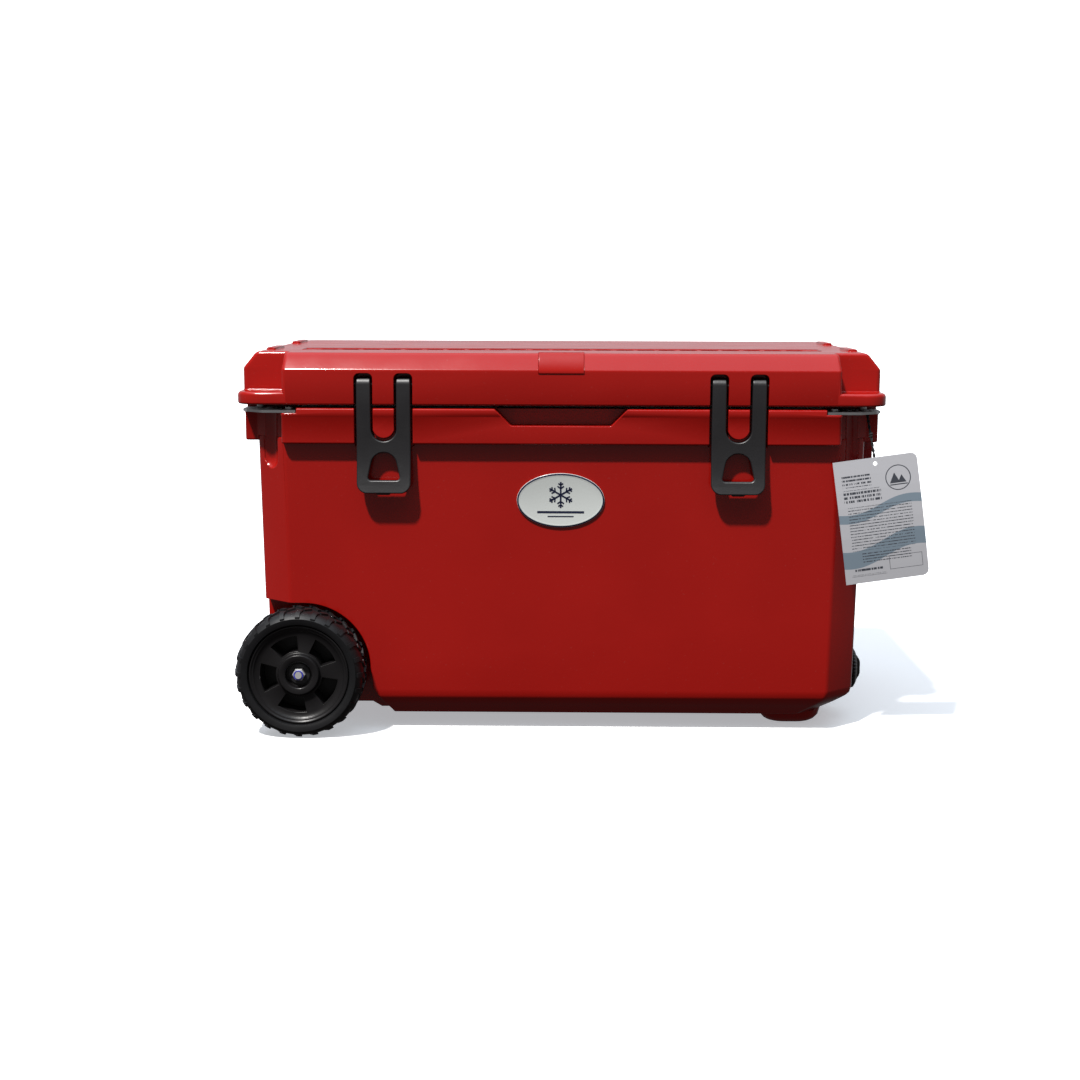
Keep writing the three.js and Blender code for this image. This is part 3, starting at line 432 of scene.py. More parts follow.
def lid_corners():
    """The lid's plan: a rectangle with its two front corners stepped in."""
    x, y = LID["shoulder_x"], LID["half_y"]
    fx, ny = LID["front_x"], LID["notch_y"]
    return [(-fx, -y), (fx, -y), (fx, -ny), (x, -ny), (x, y), (-x, y), (-x, -ny), (-fx, -ny)]


def quarter(r, steps=5):
    """How far a rounded edge has risen and how far it still stands in, from its foot up."""
    turns = [math.radians(90 * i / steps) for i in range(steps + 1)]
    return [(r * (1 - math.cos(t)), r * (1 - math.sin(t))) for t in turns]


def lid_level(z, run):
    """The lid's outline at height z, where the bevel has come in by run."""
    top_r = 3.5
    over = max(0.0, z - (LID["top"] - top_r))
    extra = top_r - math.sqrt(max(0.0, top_r**2 - over**2))
    side = 0.13 * run + extra
    back = extra
    front = run + extra
    distances = [front, side, back, front, front, front, back, side]
    radii = [5, 5, 4, 6, 24, 24, 6, 4]
    keep = [max(r + (extra if i in (2, 7) else -extra), 1.5) for i, r in enumerate(radii)]
    return rounded(inset(lid_corners(), distances), keep, 5)


def lid_upper():
    """The lid above its flange: upright sides, a bevel, and a small round at the top edge."""
    bend = 4
    low, high, run = LID["bevel"], LID["top"], LID["bevel_run"]
    slope = math.degrees(math.atan2(high - low, run))
    bottom = LID["bottom"]
    levels = [(bottom + 0.1, 3.4), (bottom + 0.6, 1.8), (bottom + 1.8, 0.5), (bottom + 3.4, 0.0)]
    levels.append((low - bend / 2, 0.0))
    for i in range(1, 5):
        t = math.radians((90 - slope) * i / 4)
        levels.append((low - bend / 2 + bend * math.sin(t), bend * (1 - math.cos(t))))
    start = levels[-1]
    for share in (0.55, 0.8, 0.9, 0.96, 0.99, 1.0):
        levels.append((start[0] + (high - start[0]) * share, start[1] + (run - start[1]) * share))
    return loft("lid_upper", [(z, lid_level(z, run_here)) for z, run_here in levels])


def lid_flange():
    """The thick rounded edge all round the foot of the lid."""
    levels = [(LID["bottom"] + rise, come_in) for rise, come_in in quarter(2.6)]
    levels += [(LID["ledge"] - drop, come_in) for come_in, drop in quarter(4.2)]
    x, y = LID["half_x"], LID["half_y"] - 0.2
    return loft("flange", [(z, rectangle(x - d, y - d, 26 - d, 6)) for z, d in levels])


def end_rail(sx, sy):
    """A low raised rail near one corner of the lid's top."""
    outline = rounded([(337, 62), (348, 66), (348, 130), (337, 134)], 3, 3)
    outline = [(x * sx, y * sy) for x, y in outline]
    if sx * sy < 0:
        outline.reverse()
    top = LID["top"]
    return loft("rail", [(top - 2, outline), (top + 2, outline), (top + 3, inset_all(outline, 1))])


def knuckle(x, width):
    """One round hinge knuckle, centred on x."""
    return bar("knuckle", "x", HINGE["y"], HINGE["z"], x - width / 2, x + width / 2, HINGE["r"], 32)


def lid_knuckle(sx):
    x, half = sx * HINGE["x"], HINGE["half"]
    y, z, r = HINGE["y"], HINGE["z"], HINGE["r"]
    web = [(LID["half_y"] - 4, LID["bottom"] + 0.5), (y - 2, LID["bottom"] + 0.5), (y, z + r)]
    web.append((LID["half_y"] - 4, z + r + 12))
    return [knuckle(x, 2 * half), prism("web", web, x - half, x + half, "x")]


def groove_cuts(back_y, low, high, corner):
    """The four slots that the latches' prongs lie in, with rounded upper corners."""
    cuts = []
    for side in (-1, 1):
        for prong in (-1, 1):
            x = side * LATCH["x"] + prong * (LATCH["half"] - LATCH["prong"] / 2)
            left, right = x - GROOVE["width"] / 2, x + GROOVE["width"] / 2
            outline = [(left, low), (right, low), (right, high), (left, high)]
            outline = rounded(outline, [0, 0, corner, corner], 4)
            cuts.append(prism("groove", outline, -OUTSIDE, back_y, "y"))
    return cuts


def rib_end(side):
    """Trims the rib between two grooves to a round end, which sits in the latch's fork."""
    x, z = side * LATCH["x"], LATCH["bridge"] + LATCH["half"] - LATCH["prong"]
    r, low = GROOVE["rib_r"], BAND["bottom"] - 3
    left, right = x - r - 0.3, x + r + 0.3
    outline = [(left, low), (right, low), (right, z)]
    outline += arc(x, z, r, 0, -180, 20) + [(left, z)]
    return prism("rib_end", outline, -OUTSIDE, LATCH["back_y"] + 0.6, "y")


def ruler_places():
    """The middles of the ruler's cells, an inch apart."""
    return [i * RULER["inch"] for i in range(-RULER["each_side"], RULER["each_side"] + 1)]


def ruler_cells():
    """The shallow inch cells of the ruler on the lid."""
    half = (RULER["inch"] - RULER["gap"]) / 2
    low, high = LID["top"] - RULER["deep"], LID["top"] + PAST
    return [
        box("cell", x - half, x + half, RULER["low_y"], RULER["high_y"], low, high)
        for x in ruler_places()
    ]


def lid_plug():
    """The raised inner face of the lid, which drops into the chamber."""
    low, high = LID["plug"], LID["bottom"] + 1
    x, y = LINER_TOP[0] - 7, LINER_TOP[1] - 7
    levels = [(low, 7), (low + 1.5, 4.5), (low + 4, 3.5), (high, 0)]
    return loft("plug", [(z, rectangle(x - d, y - d, 22, 4)) for z, d in levels])


def centre_tab():
    """The smooth tab in the middle of the front bevel."""
    y, run = -LID["half_y"] - 0.7, LID["bevel_run"]
    side = [(y, LID["bevel"] - 4), (y, LID["bevel"]), (y + run, LID["top"] + 0.6)]
    side += [(y + run + 7, LID["top"] + 0.6), (y + run + 7, LID["bevel"] - 4)]
    return prism("tab", side, -26, 26, "x")


def gasket_groove():
    """The groove round the lid's underside that the gasket sits in."""
    x, y, corner, width = GASKET["x"], GASKET["y"], GASKET["corner"], GASKET["width"]
    outer, inner = rectangle(x, y, corner), rectangle(x - width, y - width, corner - 9)
    groove = prism("gasket", outer, 380, GASKET["top"])
    return combine(groove, [prism("core", inner, 370, 400)], "DIFFERENCE")


def ruler_strip():
    """The shallow tray that the ruler's cells are sunk in."""
    outline = [(-308, -120), (308, -120), (308, -76), (-308, -76)]
    return prism("strip", rounded(outline, 5), LID["top"] - 0.6, 470)


def make_lid():
    base = combine(lid_flange(), [lid_upper(), lid_plug(), centre_tab()], "UNION")
    rails = [end_rail(sx, sy) for sx in (-1, 1) for sy in (-1, 1)]
    base = combine(base, rails + lid_knuckle(-1) + lid_knuckle(1), "UNION")
    base = combine(base, [ruler_strip(), gasket_groove()], "DIFFERENCE")
    grooves = groove_cuts(GROOVE["lid_y"], LID["bottom"] - PAST, GROOVE["top"], 6)
    base = combine(base, grooves + ruler_cells(), "DIFFERENCE")
    soften(base, 0.9, 2, 42)
    return finished(base, "lid_moulding", RED, "lid", ["lid_shell"])


def make_ruler_shade_linings():
    """Painted shade: dark, dull linings on the floor and the back wall of each of the ruler's cells,
    where their shade falls.
    """
    bm = bmesh.new()
    low = LID["top"] - RULER["deep"] - 0.1
    floor = (RULER["low_y"] + 1, RULER["high_y"] - 1, low, low + 0.4)
    back = (RULER["high_y"] - 1, RULER["high_y"] + 0.1, low, low + 1.8)
    half = 9.3
    for x in ruler_places():
        for y0, y1, z0, z1 in (floor, back):
            outline = [(x - half, y0), (x + half, y0), (x + half, y1), (x - half, y1)]
            rings(bm, [[(a, b, z) for a, b in outline] for z in (z0, z1)])
    return finished(add_object("ruler", bm), "lid_ruler_painted_shade", RULER_CELL_SHADE, "lid")


# ---- tub


def wall_level(z, x, y, grow=1.0):
    """One level of the wall: its height and its outline, with the corner cuts scaled by grow."""
    cut_x, cut_y = CHAMFER
    return z, rounded(chamfered(x, y, cut_x * grow, cut_y * grow), 9, 4)


def tub_walls():
    """The tub below its rim, with a soft turn between the walls and the bevel along the bottom."""
    low, high = WALL_LOW, WALL_TOP
    levels = []
    for share, rise in ((0.0, 0.0), (0.03, 0.6), (0.10, 3.5)):
        levels.append((FLOOR["z"] + rise, FLOOR["x"] - 5 + share * 45, FLOOR["y"] - 5 + share * 26, 0.72))
    levels.append((30, 328, 185.5, 0.86))
    levels.append((WALL_BEVEL_Z - 3.5, 341, 193.4, 0.95))
    levels.append((WALL_BEVEL_Z + 0.5, 345, 195.3, 0.98))
    levels.append((WALL_LOW["z"], low["x"], low["y"], 1))
    for share in (0.3, 0.6, 1.0):
        levels.append((*[low[key] + (high[key] - low[key]) * share for key in ("z", "x", "y")], 1))
    return loft("walls", [wall_level(*level) for level in levels])


def band_corners():
    """The rim band's plan: four straight lengths, with its corners cut back behind them."""
    hx, hy, cx, cy = BAND["half_x"], BAND["half_y"], BAND["corner_x"], BAND["corner_y"]
    front = [(cx, -hy), (cx, 16 - hy), (hx - 14, -cy), (hx, -cy)]
    right = front + [(x, -y) for x, y in reversed(front)]
    return right + [(-x, -y) for x, y in right]


def band():
    """The rim band: rounded under, with a low step near its top and a raised lip."""
    low, high, lip, under = BAND["bottom"], BAND["top"], BAND["lip"], BAND["under"]
    radii = [5, 3, 4, 4, 4, 4, 3, 5] * 2
    levels = [(low + rise, come_in + 0.5) for rise, come_in in quarter(under)]
    levels += [(high - 9.4, 0.5), (high - 8.6, 0.0)]
    levels += [(high - drop, come_in) for come_in, drop in quarter(lip, 4)]
    corners = band_corners()
    outlines = []
    for z, d in levels:
        outlines.append((z, rounded(inset_all(corners, d), [max(r - d, 1) for r in radii], 4)))
    return loft("band", outlines)


def channel(sx, sy):
    """The tie-down channel down a corner: a round shaft with a domed lower end."""
    x, y = sx * CHANNEL["x"], sy * CHANNEL["y"]
    r, end, sides = CHANNEL["r"], CHANNEL["end"], CHANNEL["sides"]
    levels = []
    for i in range(1, 9):
        t = math.radians(90 * i / 8)
        levels.append((end - r * math.cos(t), circle(x, y, r * math.sin(t), sides)))
    levels.append((400, circle(x, y, r, sides)))
    return loft("channel", levels)


def wheel_well(side):
    """The space for one wheel: arched over the tyre and sloping out to the underside."""
    r, x = WELL["r"], WELL["x"]
    outline = [(-OUTSIDE, WHEEL["r"] + r)]
    outline += arc(x, WHEEL["r"], r, 90, 0, 24)
    outline += [(x + r + 3, 50), (WELL["flare"], 0), (-OUTSIDE, 0)]
    low, high = sorted((side * WELL["y"], side * OUTSIDE))
    return prism("well", outline, low, high, "y")


def raised_underside():
    """The underside steps up between the wheels."""
    edge = WELL["x"] + WELL["r"] + 3
    outline = [(-OUTSIDE, 0), (WELL["flare"], 0), (edge - 6, 22.8), (-OUTSIDE, 22.8)]
    return prism("underside", outline, -WELL["y"] - 1, WELL["y"] + 1, "y")


def foot(sy):
    """A rounded foot moulded into the underside, widening upwards."""
    levels = []
    for z, half_x, r in ((0, 24, 16), (1.2, 27, 17), (4, 31, 18), (9, 35, 20), (20, 38, 22)):
        outline = rectangle(half_x, half_x - 4, r)
        levels.append((z, [(x + FOOT["x"], y + sy * FOOT["y"]) for x, y in outline]))
    return loft("foot", levels)


def handle_post(sy):
    """One of the two uprights on the end wall that carry the handle's pivots."""
    x = HANDLE["post_x"]
    outline = [(340, 196), (x - 6, 222), (x, 236), (x, BAND["bottom"] + 2), (340, BAND["bottom"] + 2)]
    outline = rounded(outline, [0, 6, 8, 0, 0], 4)
    a, b = sorted((sy * HANDLE["post_in"], sy * HANDLE["post_out"]))
    return prism("post", outline, a, b, "y")


def tub_knuckles(sx):
    made = []
    for side in (-1, 1):
        x = sx * HINGE["x"] + side * (HINGE["half"] + 1 + HINGE["knuckle"] / 2)
        y, z, r = HINGE["y"], HINGE["z"], HINGE["r"]
        web = [(BAND["half_y"] - 4, z - 26), (y + r, z), (y, z), (BAND["half_y"] - 4, z - 4)]
        half = HINGE["knuckle"] / 2
        made += [knuckle(x, 2 * half), prism("web", web, x - half, x + half, "x")]
    return made


def liner():
    """The ice chamber, with the raised shelf over the wheels."""
    levels = []
    for z, run in ((LINER_FLOOR_Z, 12), (LINER_FLOOR_Z + 4, 5), (LINER_FLOOR_Z + 14, 0)):
        levels.append((z, rectangle(LINER_FLOOR[0] - run, LINER_FLOOR[1] - run, 26)))
    levels.append((BAND["top"] + PAST, rectangle(*LINER_TOP, 26)))
    space = loft("liner", levels)
    step = box("step", -400, LINER_STEP[0], -300, 300, 0, LINER_STEP[1])
    return combine(space, [step], "DIFFERENCE")


def finger_notch():
    """The tapered notch in the front of the rim, under the lid's edge."""
    outline = [(-76.5, 390), (-76.5, 381.5), (-57, 361.5), (57, 361.5), (76.5, 381.5), (76.5, 390)]
    return prism("notch", rounded(outline, [0, 5, 5, 5, 5, 0]), -230, -192, "y")


def handle_pocket():
    """The recess in the end wall that the swing handle lies in."""
    y, x, slope = POCKET["half_y"], POCKET["x"], 18
    outline = rounded([(x, slope - y), (420, -y), (420, y), (x, y - slope)], [5, 0, 0, 5])
    return loft("pocket", [(POCKET["bottom"], outline), (POCKET["top"], outline)])


def hand_hold():
    """The finger recess under the rim at the wheel end."""
    outline = [(-60, 300), (60, 300), (60, 339.5), (-60, 339.5)]
    return prism("hold", rounded(outline, 9), -400, -336, "x")


def plate_shelves():
    """The front corners of the rim, cut down for the steel plates."""
    shelves = []
    for sx in (-1, 1):
        low, high = sorted((sx * 302, sx * 400))
        shelves.append(box("shelf", low, high, -300, -149, BAND["shelf"], 400))
    return shelves


def make_tub():
    pad = bar("pad", "x", DRAIN["y"], DRAIN["z"], 300, DRAIN["pad_x"], DRAIN["pad_r"])
    base = combine(tub_walls(), [wheel_well(-1), wheel_well(1), raised_underside()], "DIFFERENCE")
    base = combine(base, [band(), foot(-1), foot(1), pad], "UNION")
    base = combine(base, [liner(), handle_pocket(), hand_hold(), finger_notch()], "DIFFERENCE")
    corners = [channel(sx, sy) for sx in (-1, 1) for sy in (-1, 1)]
    base = combine(base, corners + plate_shelves(), "DIFFERENCE")
    grooves = groove_cuts(GROOVE["band_y"], BAND["bottom"] - 3, 400, 0)
    base = combine(base, grooves + [rib_end(-1), rib_end(1)], "DIFFERENCE")
    extras = [handle_post(-1), handle_post(1)] + tub_knuckles(-1) + tub_knuckles(1)
    base = combine(base, extras, "UNION")
    holes = [bar("drain", "x", DRAIN["y"], DRAIN["z"], 270, 400, DRAIN["bore"])]
    holes.append(bar("axle", "y", WHEEL["x"], WHEEL["r"], -200, 200, 7))
    for sy in (-1, 1):
        a, b = sorted((sy * (HANDLE["post_in"] - PAST), sy * (HANDLE["post_out"] - 4)))
        holes.append(bar("pivot", "y", HANDLE["x"], HANDLE["z"], a, b, 8))
    base = combine(base, holes, "DIFFERENCE")
    soften(base, 1.1, 2, 42)
    return finished(base, "tub_moulding", RED, "tub", ["tub_shell"])


# ---- latches


def latch_side():
    """Side view in (y, z): round the pin, down the grooves and out over the wall."""
    y, z, r, t = LATCH["pin_y"], LATCH["pin_z"], LATCH["knuckle"], LATCH["thick"]
    near = LATCH["back_y"]
    front = y - r
    outline = arc(y, z, r, 180, 0, 16)
    outline += [(y + r - 1, z - 8), (front + t + 1, z - 20)]
    drop, out = LATCH["bridge"] - LATCH["bottom"], near - t - LATCH["flare_y"]
    flare = []
    for share in (0.1, 0.25, 0.4, 0.55, 0.7, 0.85):
        flare.append((out * share**2.2, LATCH["bridge"] - drop * share))
    outline += [(near, LATCH["bridge"] + 10), (near, LATCH["bridge"] - 4)]
    outline += [(near - away, height) for away, height in flare[1:]]
    outline += [(LATCH["flare_y"] + t, LATCH["bottom"] + 0.5), (LATCH["flare_y"], LATCH["bottom"])]
    outline += [(near - t - away, height) for away, height in reversed(flare)]
    outline += [(near - t, LATCH["bridge"] + 2), (front, z - 24)]
    return outline


def latch_front():
    """Front view in (x, z): two prongs and a bridge over a pull tab."""
    half, gap = LATCH["half"], LATCH["half"] - LATCH["prong"]
    top = LATCH["pin_z"] + LATCH["knuckle"] + 1
    low = LATCH["bottom"]
    outline = [(-half, top)]
    outline += arc(-half + 12, low + 12, 12, 180, 270, 8)
    outline += arc(half - 12, low + 12, 12, 270, 360, 8)
    outline += [(half, top), (gap, top)]
    outline += arc(0, LATCH["bridge"] + gap - 1.6, gap, 0, -180, 18)
    outline += [(-gap, top)]
    return outline


def latch_hole():
    """The D-shaped finger hole: a round top, sloping sides and a flat bottom."""
    outline = arc(0, 315.5, 14.8, 10, 170, 14)
    outline += arc(-14.5, 302.5, 3.5, 180, 270, 4)
    outline += arc(14.5, 302.5, 3.5, 270, 360, 4)
    return outline


def make_latch(name, x):
    """One latch: its side view crossed with its front view, with a nib under the pull tab."""
    side = prism("side", latch_side(), -LATCH["half"], LATCH["half"], "x")
    front = prism("front", latch_front(), -260, -180, "y")
    made = combine(side, [front], "INTERSECT")
    made = combine(made, [prism("hole", latch_hole(), -270, -170, "y")], "DIFFERENCE")
    y, z = LATCH["flare_y"], LATCH["bottom"]
    nib = box("nib", -7, 7, y + 2, y + 5, z - 1.2, z + 3)
    made = combine(made, [nib], "UNION")
    shift(made, x, 0, 0)
    soften(made, 1.7, 3, 34)
    return finished(made, f"{name}_moulding", LATCH_RUBBER, name, [name])


# ---- wheels


def tyre_radius(y):
    """Radius of the tyre between its lugs, across its width."""
    edge = max(0.0, abs(y) - 15)
    return WHEEL["r"] - LUG_HEIGHT - edge**2 * 0.052


def lug(bm, turn, path, half):
    """One raised block: a ribbon along (arc length, y) points on the tyre, turned round the wheel."""
    sections = []
    for i, (s, y) in enumerate(path):
        following = path[min(i + 1, len(path) - 1)]
        before = path[max(i - 1, 0)]
        ds, dy = following[0] - before[0], following[1] - before[1]
        length = math.hypot(ds, dy)
        across = (-dy / length, ds / length)
        section = []
        for reach, lift in ((-1, -1.5), (-0.82, LUG_HEIGHT), (0.82, LUG_HEIGHT), (1, -1.5)):
            round_by = s + across[0] * reach * half
            at_y = y + across[1] * reach * half
            r = tyre_radius(at_y) + lift
            t = turn + round_by / WHEEL["r"]
            section.append((r * math.cos(t), at_y, r * math.sin(t)))
        sections.append(section)
    rings(bm, sections)


def tyre_mesh(side):
    """Side is -1 for the front wheel, whose outer face looks to -Y."""
    bm = bmesh.new()
    rim, half = WHEEL["rim"] + 0.3, WHEEL["half"]
    outer = [(rim, -24), (rim + 1, -26.5), (rim + 4, -27.6), (rim + 8, -half)]
    outer += [(tyre_radius(y), y) for y in range(-27, 28, 3)]
    outer += [(rim + 8, half), (rim + 4, 27.6), (rim + 1, 26.5), (rim, 24)]
    lathe(bm, outer, 96)
    inner_lug = [(-3, 1.5), (1, 6), (4.5, 11)]
    outer_lug = [(6.5, 14), (9, 18), (10, 22), (10, 26.2)]
    count = 24
    for i in range(count):
        for way in (1, -1):
            turn = 2 * math.pi * i / count + (0 if way > 0 else math.pi / count)
            lug(bm, turn, [(s, way * y) for s, y in inner_lug], 2.6)
            lug(bm, turn, [(s, way * y) for s, y in outer_lug], 3.3)
    return shift(add_object("tyre", bm), WHEEL["x"], side * WHEEL["y"], WHEEL["r"])


def rim_profile():
    """(radius, distance outwards) round the rim's section."""
    rim, inner, hub = WHEEL["rim"], WHEEL["inner"], WHEEL["hub"]
    back = [(10, -35), (hub - 6, -35), (hub - 4, -33), (hub, -12), (inner, -12), (inner, -22)]
    barrel = [(rim, -22), (rim, 23.4), (rim - 1, 24.6), (rim - 2.4, 24.6), (rim - 3.6, 23.2)]
    dish = [(inner + 2.4, 22.8), (inner + 1.6, 21.6), (inner - 4, 20.0), (hub + 2, 19.2)]
    boss = [(hub + 0.6, 20), (hub, 23.4), (hub - 1.4, 25), (16.8, 25), (15.4, 24), (15, 15), (10, 15)]
    return back + barrel + dish + boss


def make_rim(name, body, side):
    """One wheel's plastic rim, with five pockets in its dished face."""
    made = turned("rim", [(r, side * out) for r, out in rim_profile()], 120)
    cuts = []
    for i in range(5):
        middle = 42 + 72 * i
        outline = arc(0, 0, WHEEL["hub"] + 3, middle - 22, middle + 22, 8)
        outline += arc(0, 0, WHEEL["inner"] - 5, middle + 22, middle - 22, 12)
        low, high = sorted((side * -9, side * 30))
        cuts.append(prism("window", outline, low, high, "y"))
    made = combine(made, cuts, "DIFFERENCE")
    shift(made, WHEEL["x"], side * WHEEL["y"], WHEEL["r"])
    soften(made, 0.6, 2, 45)
    return finished(made, f"{name}_moulding", RIM_BLACK, body, [name])


def make_nut(name, side):
    """A hexagon nut with rounded shoulders, and the blue nylon ring that locks it."""
    y0, y1 = WHEEL["y"] + 17.2, WHEEL["y"] + 25.2
    bm = bmesh.new()
    hexagon = arc(0, 0, 7.5, 0, 300, 5)
    sections = []
    for y, grow in ((y0, 0.94), (y0 + 0.6, 1.0), (y1 - 2.4, 1.0), (y1 - 1.8, 0.93)):
        sections.append([(x * grow, side * y, z * grow) for x, z in hexagon])
    rings(bm, sections)
    collar = [(4.4, y0 + 1), (5.9, y0 + 1), (5.9, y1 - 0.6), (5.4, y1), (4.6, y1), (4.4, y1 - 0.4)]
    lathe(bm, [(r, side * y) for r, y in collar], 48)
    made = shift(add_object("nut", bm), WHEEL["x"], 0, WHEEL["r"])
    soften(made, 0, angle=35)
    finished(made, f"{name}_hexagon", ZINC, "tub", [name])
    ring = [(4.25, y1 - 2), (5.7, y1 - 2), (5.7, y1 + 0.1), (5.2, y1 + 0.35), (4.25, y1)]
    made = turned("ring", [(r, side * y) for r, y in ring], 48)
    shift(made, WHEEL["x"], 0, WHEEL["r"])
    soften(made, 0, angle=35)
    return finished(made, f"{name}_ring", NUT_BLUE, "tub")


def make_wheels():
    for end, side in (("front", -1), ("rear", 1)):
        body = f"wheel_{end}"
        tyre = soften(tyre_mesh(side), 0, angle=38)
        finished(tyre, f"tyre_{end}_treaded", TYRE_BLACK, body, [f"tyre_{end}"])
        make_rim(f"rim_{end}", body, side)
        make_nut(f"nylock_nut_{end}", side)


# ---- badge


def badge_point(x, z, out):
    """A point on the badge's face, which leans with the front wall."""
    lean = (WALL_TOP["y"] - WALL_LOW["y"]) / (WALL_TOP["z"] - WALL_LOW["z"])
    return (x, BADGE["y"] - out - (z - BADGE["z"]) * lean, z)


def oval(grow, out, steps=72):
    """The badge's outline, larger by grow and proud of its face by out."""
    half_x, half_z = BADGE["x"] + grow, BADGE["h"] + grow
    return [badge_point(x * half_x, BADGE["z"] + z * half_z, out) for x, z in circle(0, 0, 1, steps)]


def badge_strip(bm, points, half, out, thick=0.25):
    """A flat raised stroke along points on the badge."""
    for (x0, z0), (x1, z1) in zip(points, points[1:]):
        length = math.hypot(x1 - x0, z1 - z0)
        nx, nz = -(z1 - z0) / length * half, (x1 - x0) / length * half
        corners = [(x0 - nx, z0 - nz), (x1 - nx, z1 - nz), (x1 + nx, z1 + nz), (x0 + nx, z0 + nz)]
        rings(bm, [[badge_point(x, z, o) for x, z in corners] for o in (out - 0.2, out + thick)])


def make_badge():
    """The domed oval plate and the thin dark line round its edge."""
    section = ((0, -1.2), (0, 1.4), (-0.6, 1.9), (-2.2, 2.2), (-3.4, 1.9), (-4, 1.8))
    made = soften(skin("badge", [oval(grow, out) for grow, out in section]), 0, angle=50)
    finished(made, "badge_plate", BADGE_WHITE, "tub", ["badge"])
    inner, outer = oval(-2.0, 2.1), oval(-0.3, 1.6)
    lifted = [[(x, y - 0.25, z) for x, y, z in ring] for ring in (inner, outer)]
    ring = skin("badge_ring", [inner, outer, lifted[1], lifted[0]], cap=False, wrap=True)
    soften(ring, 0, angle=50)
    return finished(ring, "badge_border", BADGE_NAVY, "tub")


def make_emblem():
    """A plain snowflake over two short rules."""
    bm = bmesh.new()
    cx, cz, r = 0, BADGE["z"] + 6.5, 15
    for i in range(6):
        t = math.radians(60 * i + 30)
        ux, uz = math.cos(t), math.sin(t)
        badge_strip(bm, [(cx, cz), (cx + r * ux, cz + r * uz)], 0.95, 1.8)
        for reach, arm in ((0.5, 4.6), (0.76, 3.4)):
            bx, bz = cx + r * reach * ux, cz + r * reach * uz
            for bend in (-1, 1):
                a = t + bend * math.radians(55)
                badge_strip(bm, [(bx, bz), (bx + arm * math.cos(a), bz + arm * math.sin(a))], 0.8, 1.8)
    for half, z, wide in ((27, BADGE["z"] - 13.5, 1.2), (15, BADGE["z"] - 18.5, 0.6)):
        badge_strip(bm, [(-half, z), (half, z)], wide, 1.8)
    made = add_object("emblem", bm)
    return finished(made, "badge_snowflake", BADGE_NAVY, "tub")


# ---- handle, drain and fittings


def make_grip():
    """The sleeve on the swing handle, with rounded ends and shallow grooves round it."""
    z = HANDLE["z"] - HANDLE["reach"]
    half = 58
    profile = [(5.3, -half), (11, -half), (13.4, -half + 1), (15, -half + 4)]
    for i in range(-9, 10):
        y = i * 5.4
        profile += [(15, y - 1.6), (14, y - 0.8), (14, y + 0.8), (15, y + 1.6)]
    profile += [(15, half - 4), (13.4, half - 1), (11, half), (5.3, half)]
    made = shift(turned("grip", profile, 48), HANDLE["x"], 0, z)
    soften(made, 0, angle=50)
    return finished(made, "handle_grip_sleeve", GRIP_BLACK, "pull_handle", ["handle_grip"])


def make_drain_cap():
    """A knurled screw cap with a wing to turn it by."""
    y0, z0 = DRAIN["y"], DRAIN["z"]
    start, end, r = DRAIN["pad_x"] + 5.5, DRAIN["cap_x"], DRAIN["cap_r"]
    ridges, groove = 36, 0.9
    outline = []
    for i in range(ridges * 4):
        t = 2 * math.pi * i / (ridges * 4)
        here = r if i % 4 in (0, 1) else r - groove
        outline.append((here * math.cos(t), here * math.sin(t)))
    sections = []
    taper = ((start, 0.97), (start + 0.8, 1.0), (start + 3, 0.99), (end - 1.4, 0.88), (end, 0.78))
    for x, grow in taper:
        sections.append([(x, y0 + a * grow, z0 + b * grow) for a, b in outline])
    made = skin("cap", sections)
    sections = []
    taper = ((start + 1, 5.5, 19), (end + 2, 5, 15), (end + 5, 4.4, 10.5), (end + 6, 3.4, 8))
    for x, half_y, half_z in taper:
        sections.append([(x, y0 + a, z0 + b) for a, b in rectangle(half_y, half_z, 3)])
    wing = skin("wing", sections)
    plug = bar("stem", "x", y0, z0, DRAIN["pad_x"] - 16, start + 1, 8.7)
    made = combine(made, [wing, plug], "UNION")
    soften(made, 0.5, 2, 50)
    return finished(made, "drain_cap_moulding", BLACK, "drain_cap", ["drain_cap"])


CAD_LOOKS = {
    "steel": STEEL,
    "black_plastic": BLACK,
    "nylon": NYLON,
    "seal": SEAL,
    "foam": FOAM,
    "rim_plastic": RIM_BLACK,
    "tyre": TYRE_BLACK,
    "latch_rubber": LATCH_RUBBER,
    "red_plastic": RED,
    "badge": BADGE_WHITE,
    "grip_rubber": GRIP_BLACK,
    "cord": CORD,
}

NODE_LOOKS = {
    "axle": ZINC,
    # the latch pins take the darkened steel as painted shade
    "latch_pin_left": DARK_STEEL,
    "latch_pin_right": DARK_STEEL,
    "washer_front": DARK_STEEL,
    "washer_rear": DARK_STEEL,
}


def dress_cad_nodes():
    """Materials and rounded edges on the CAD nodes that are shown as they are."""
    slots = {row["node"]: row["material_slot"] for row in frame["record"]["subparts"]}
    for name, obj in frame["nodes"].items():
        if obj.hide_render:
            continue
        look = NODE_LOOKS.get(name, CAD_LOOKS.get(slots[name]))
        if look is None:  # the hang tag, which has its own printed card
            continue
        obj.data.materials.clear()
        obj.data.materials.append(look)
        soften(obj, 0, angle=35)
        if "plate" in name and "screw" not in name:
            step = obj.modifiers.new("edges", "BEVEL")
            step.width = 0.6 * MM
            step.segments = 2
            step.limit_method = "ANGLE"
            step.angle_limit = math.radians(50)


# ---- hang tag


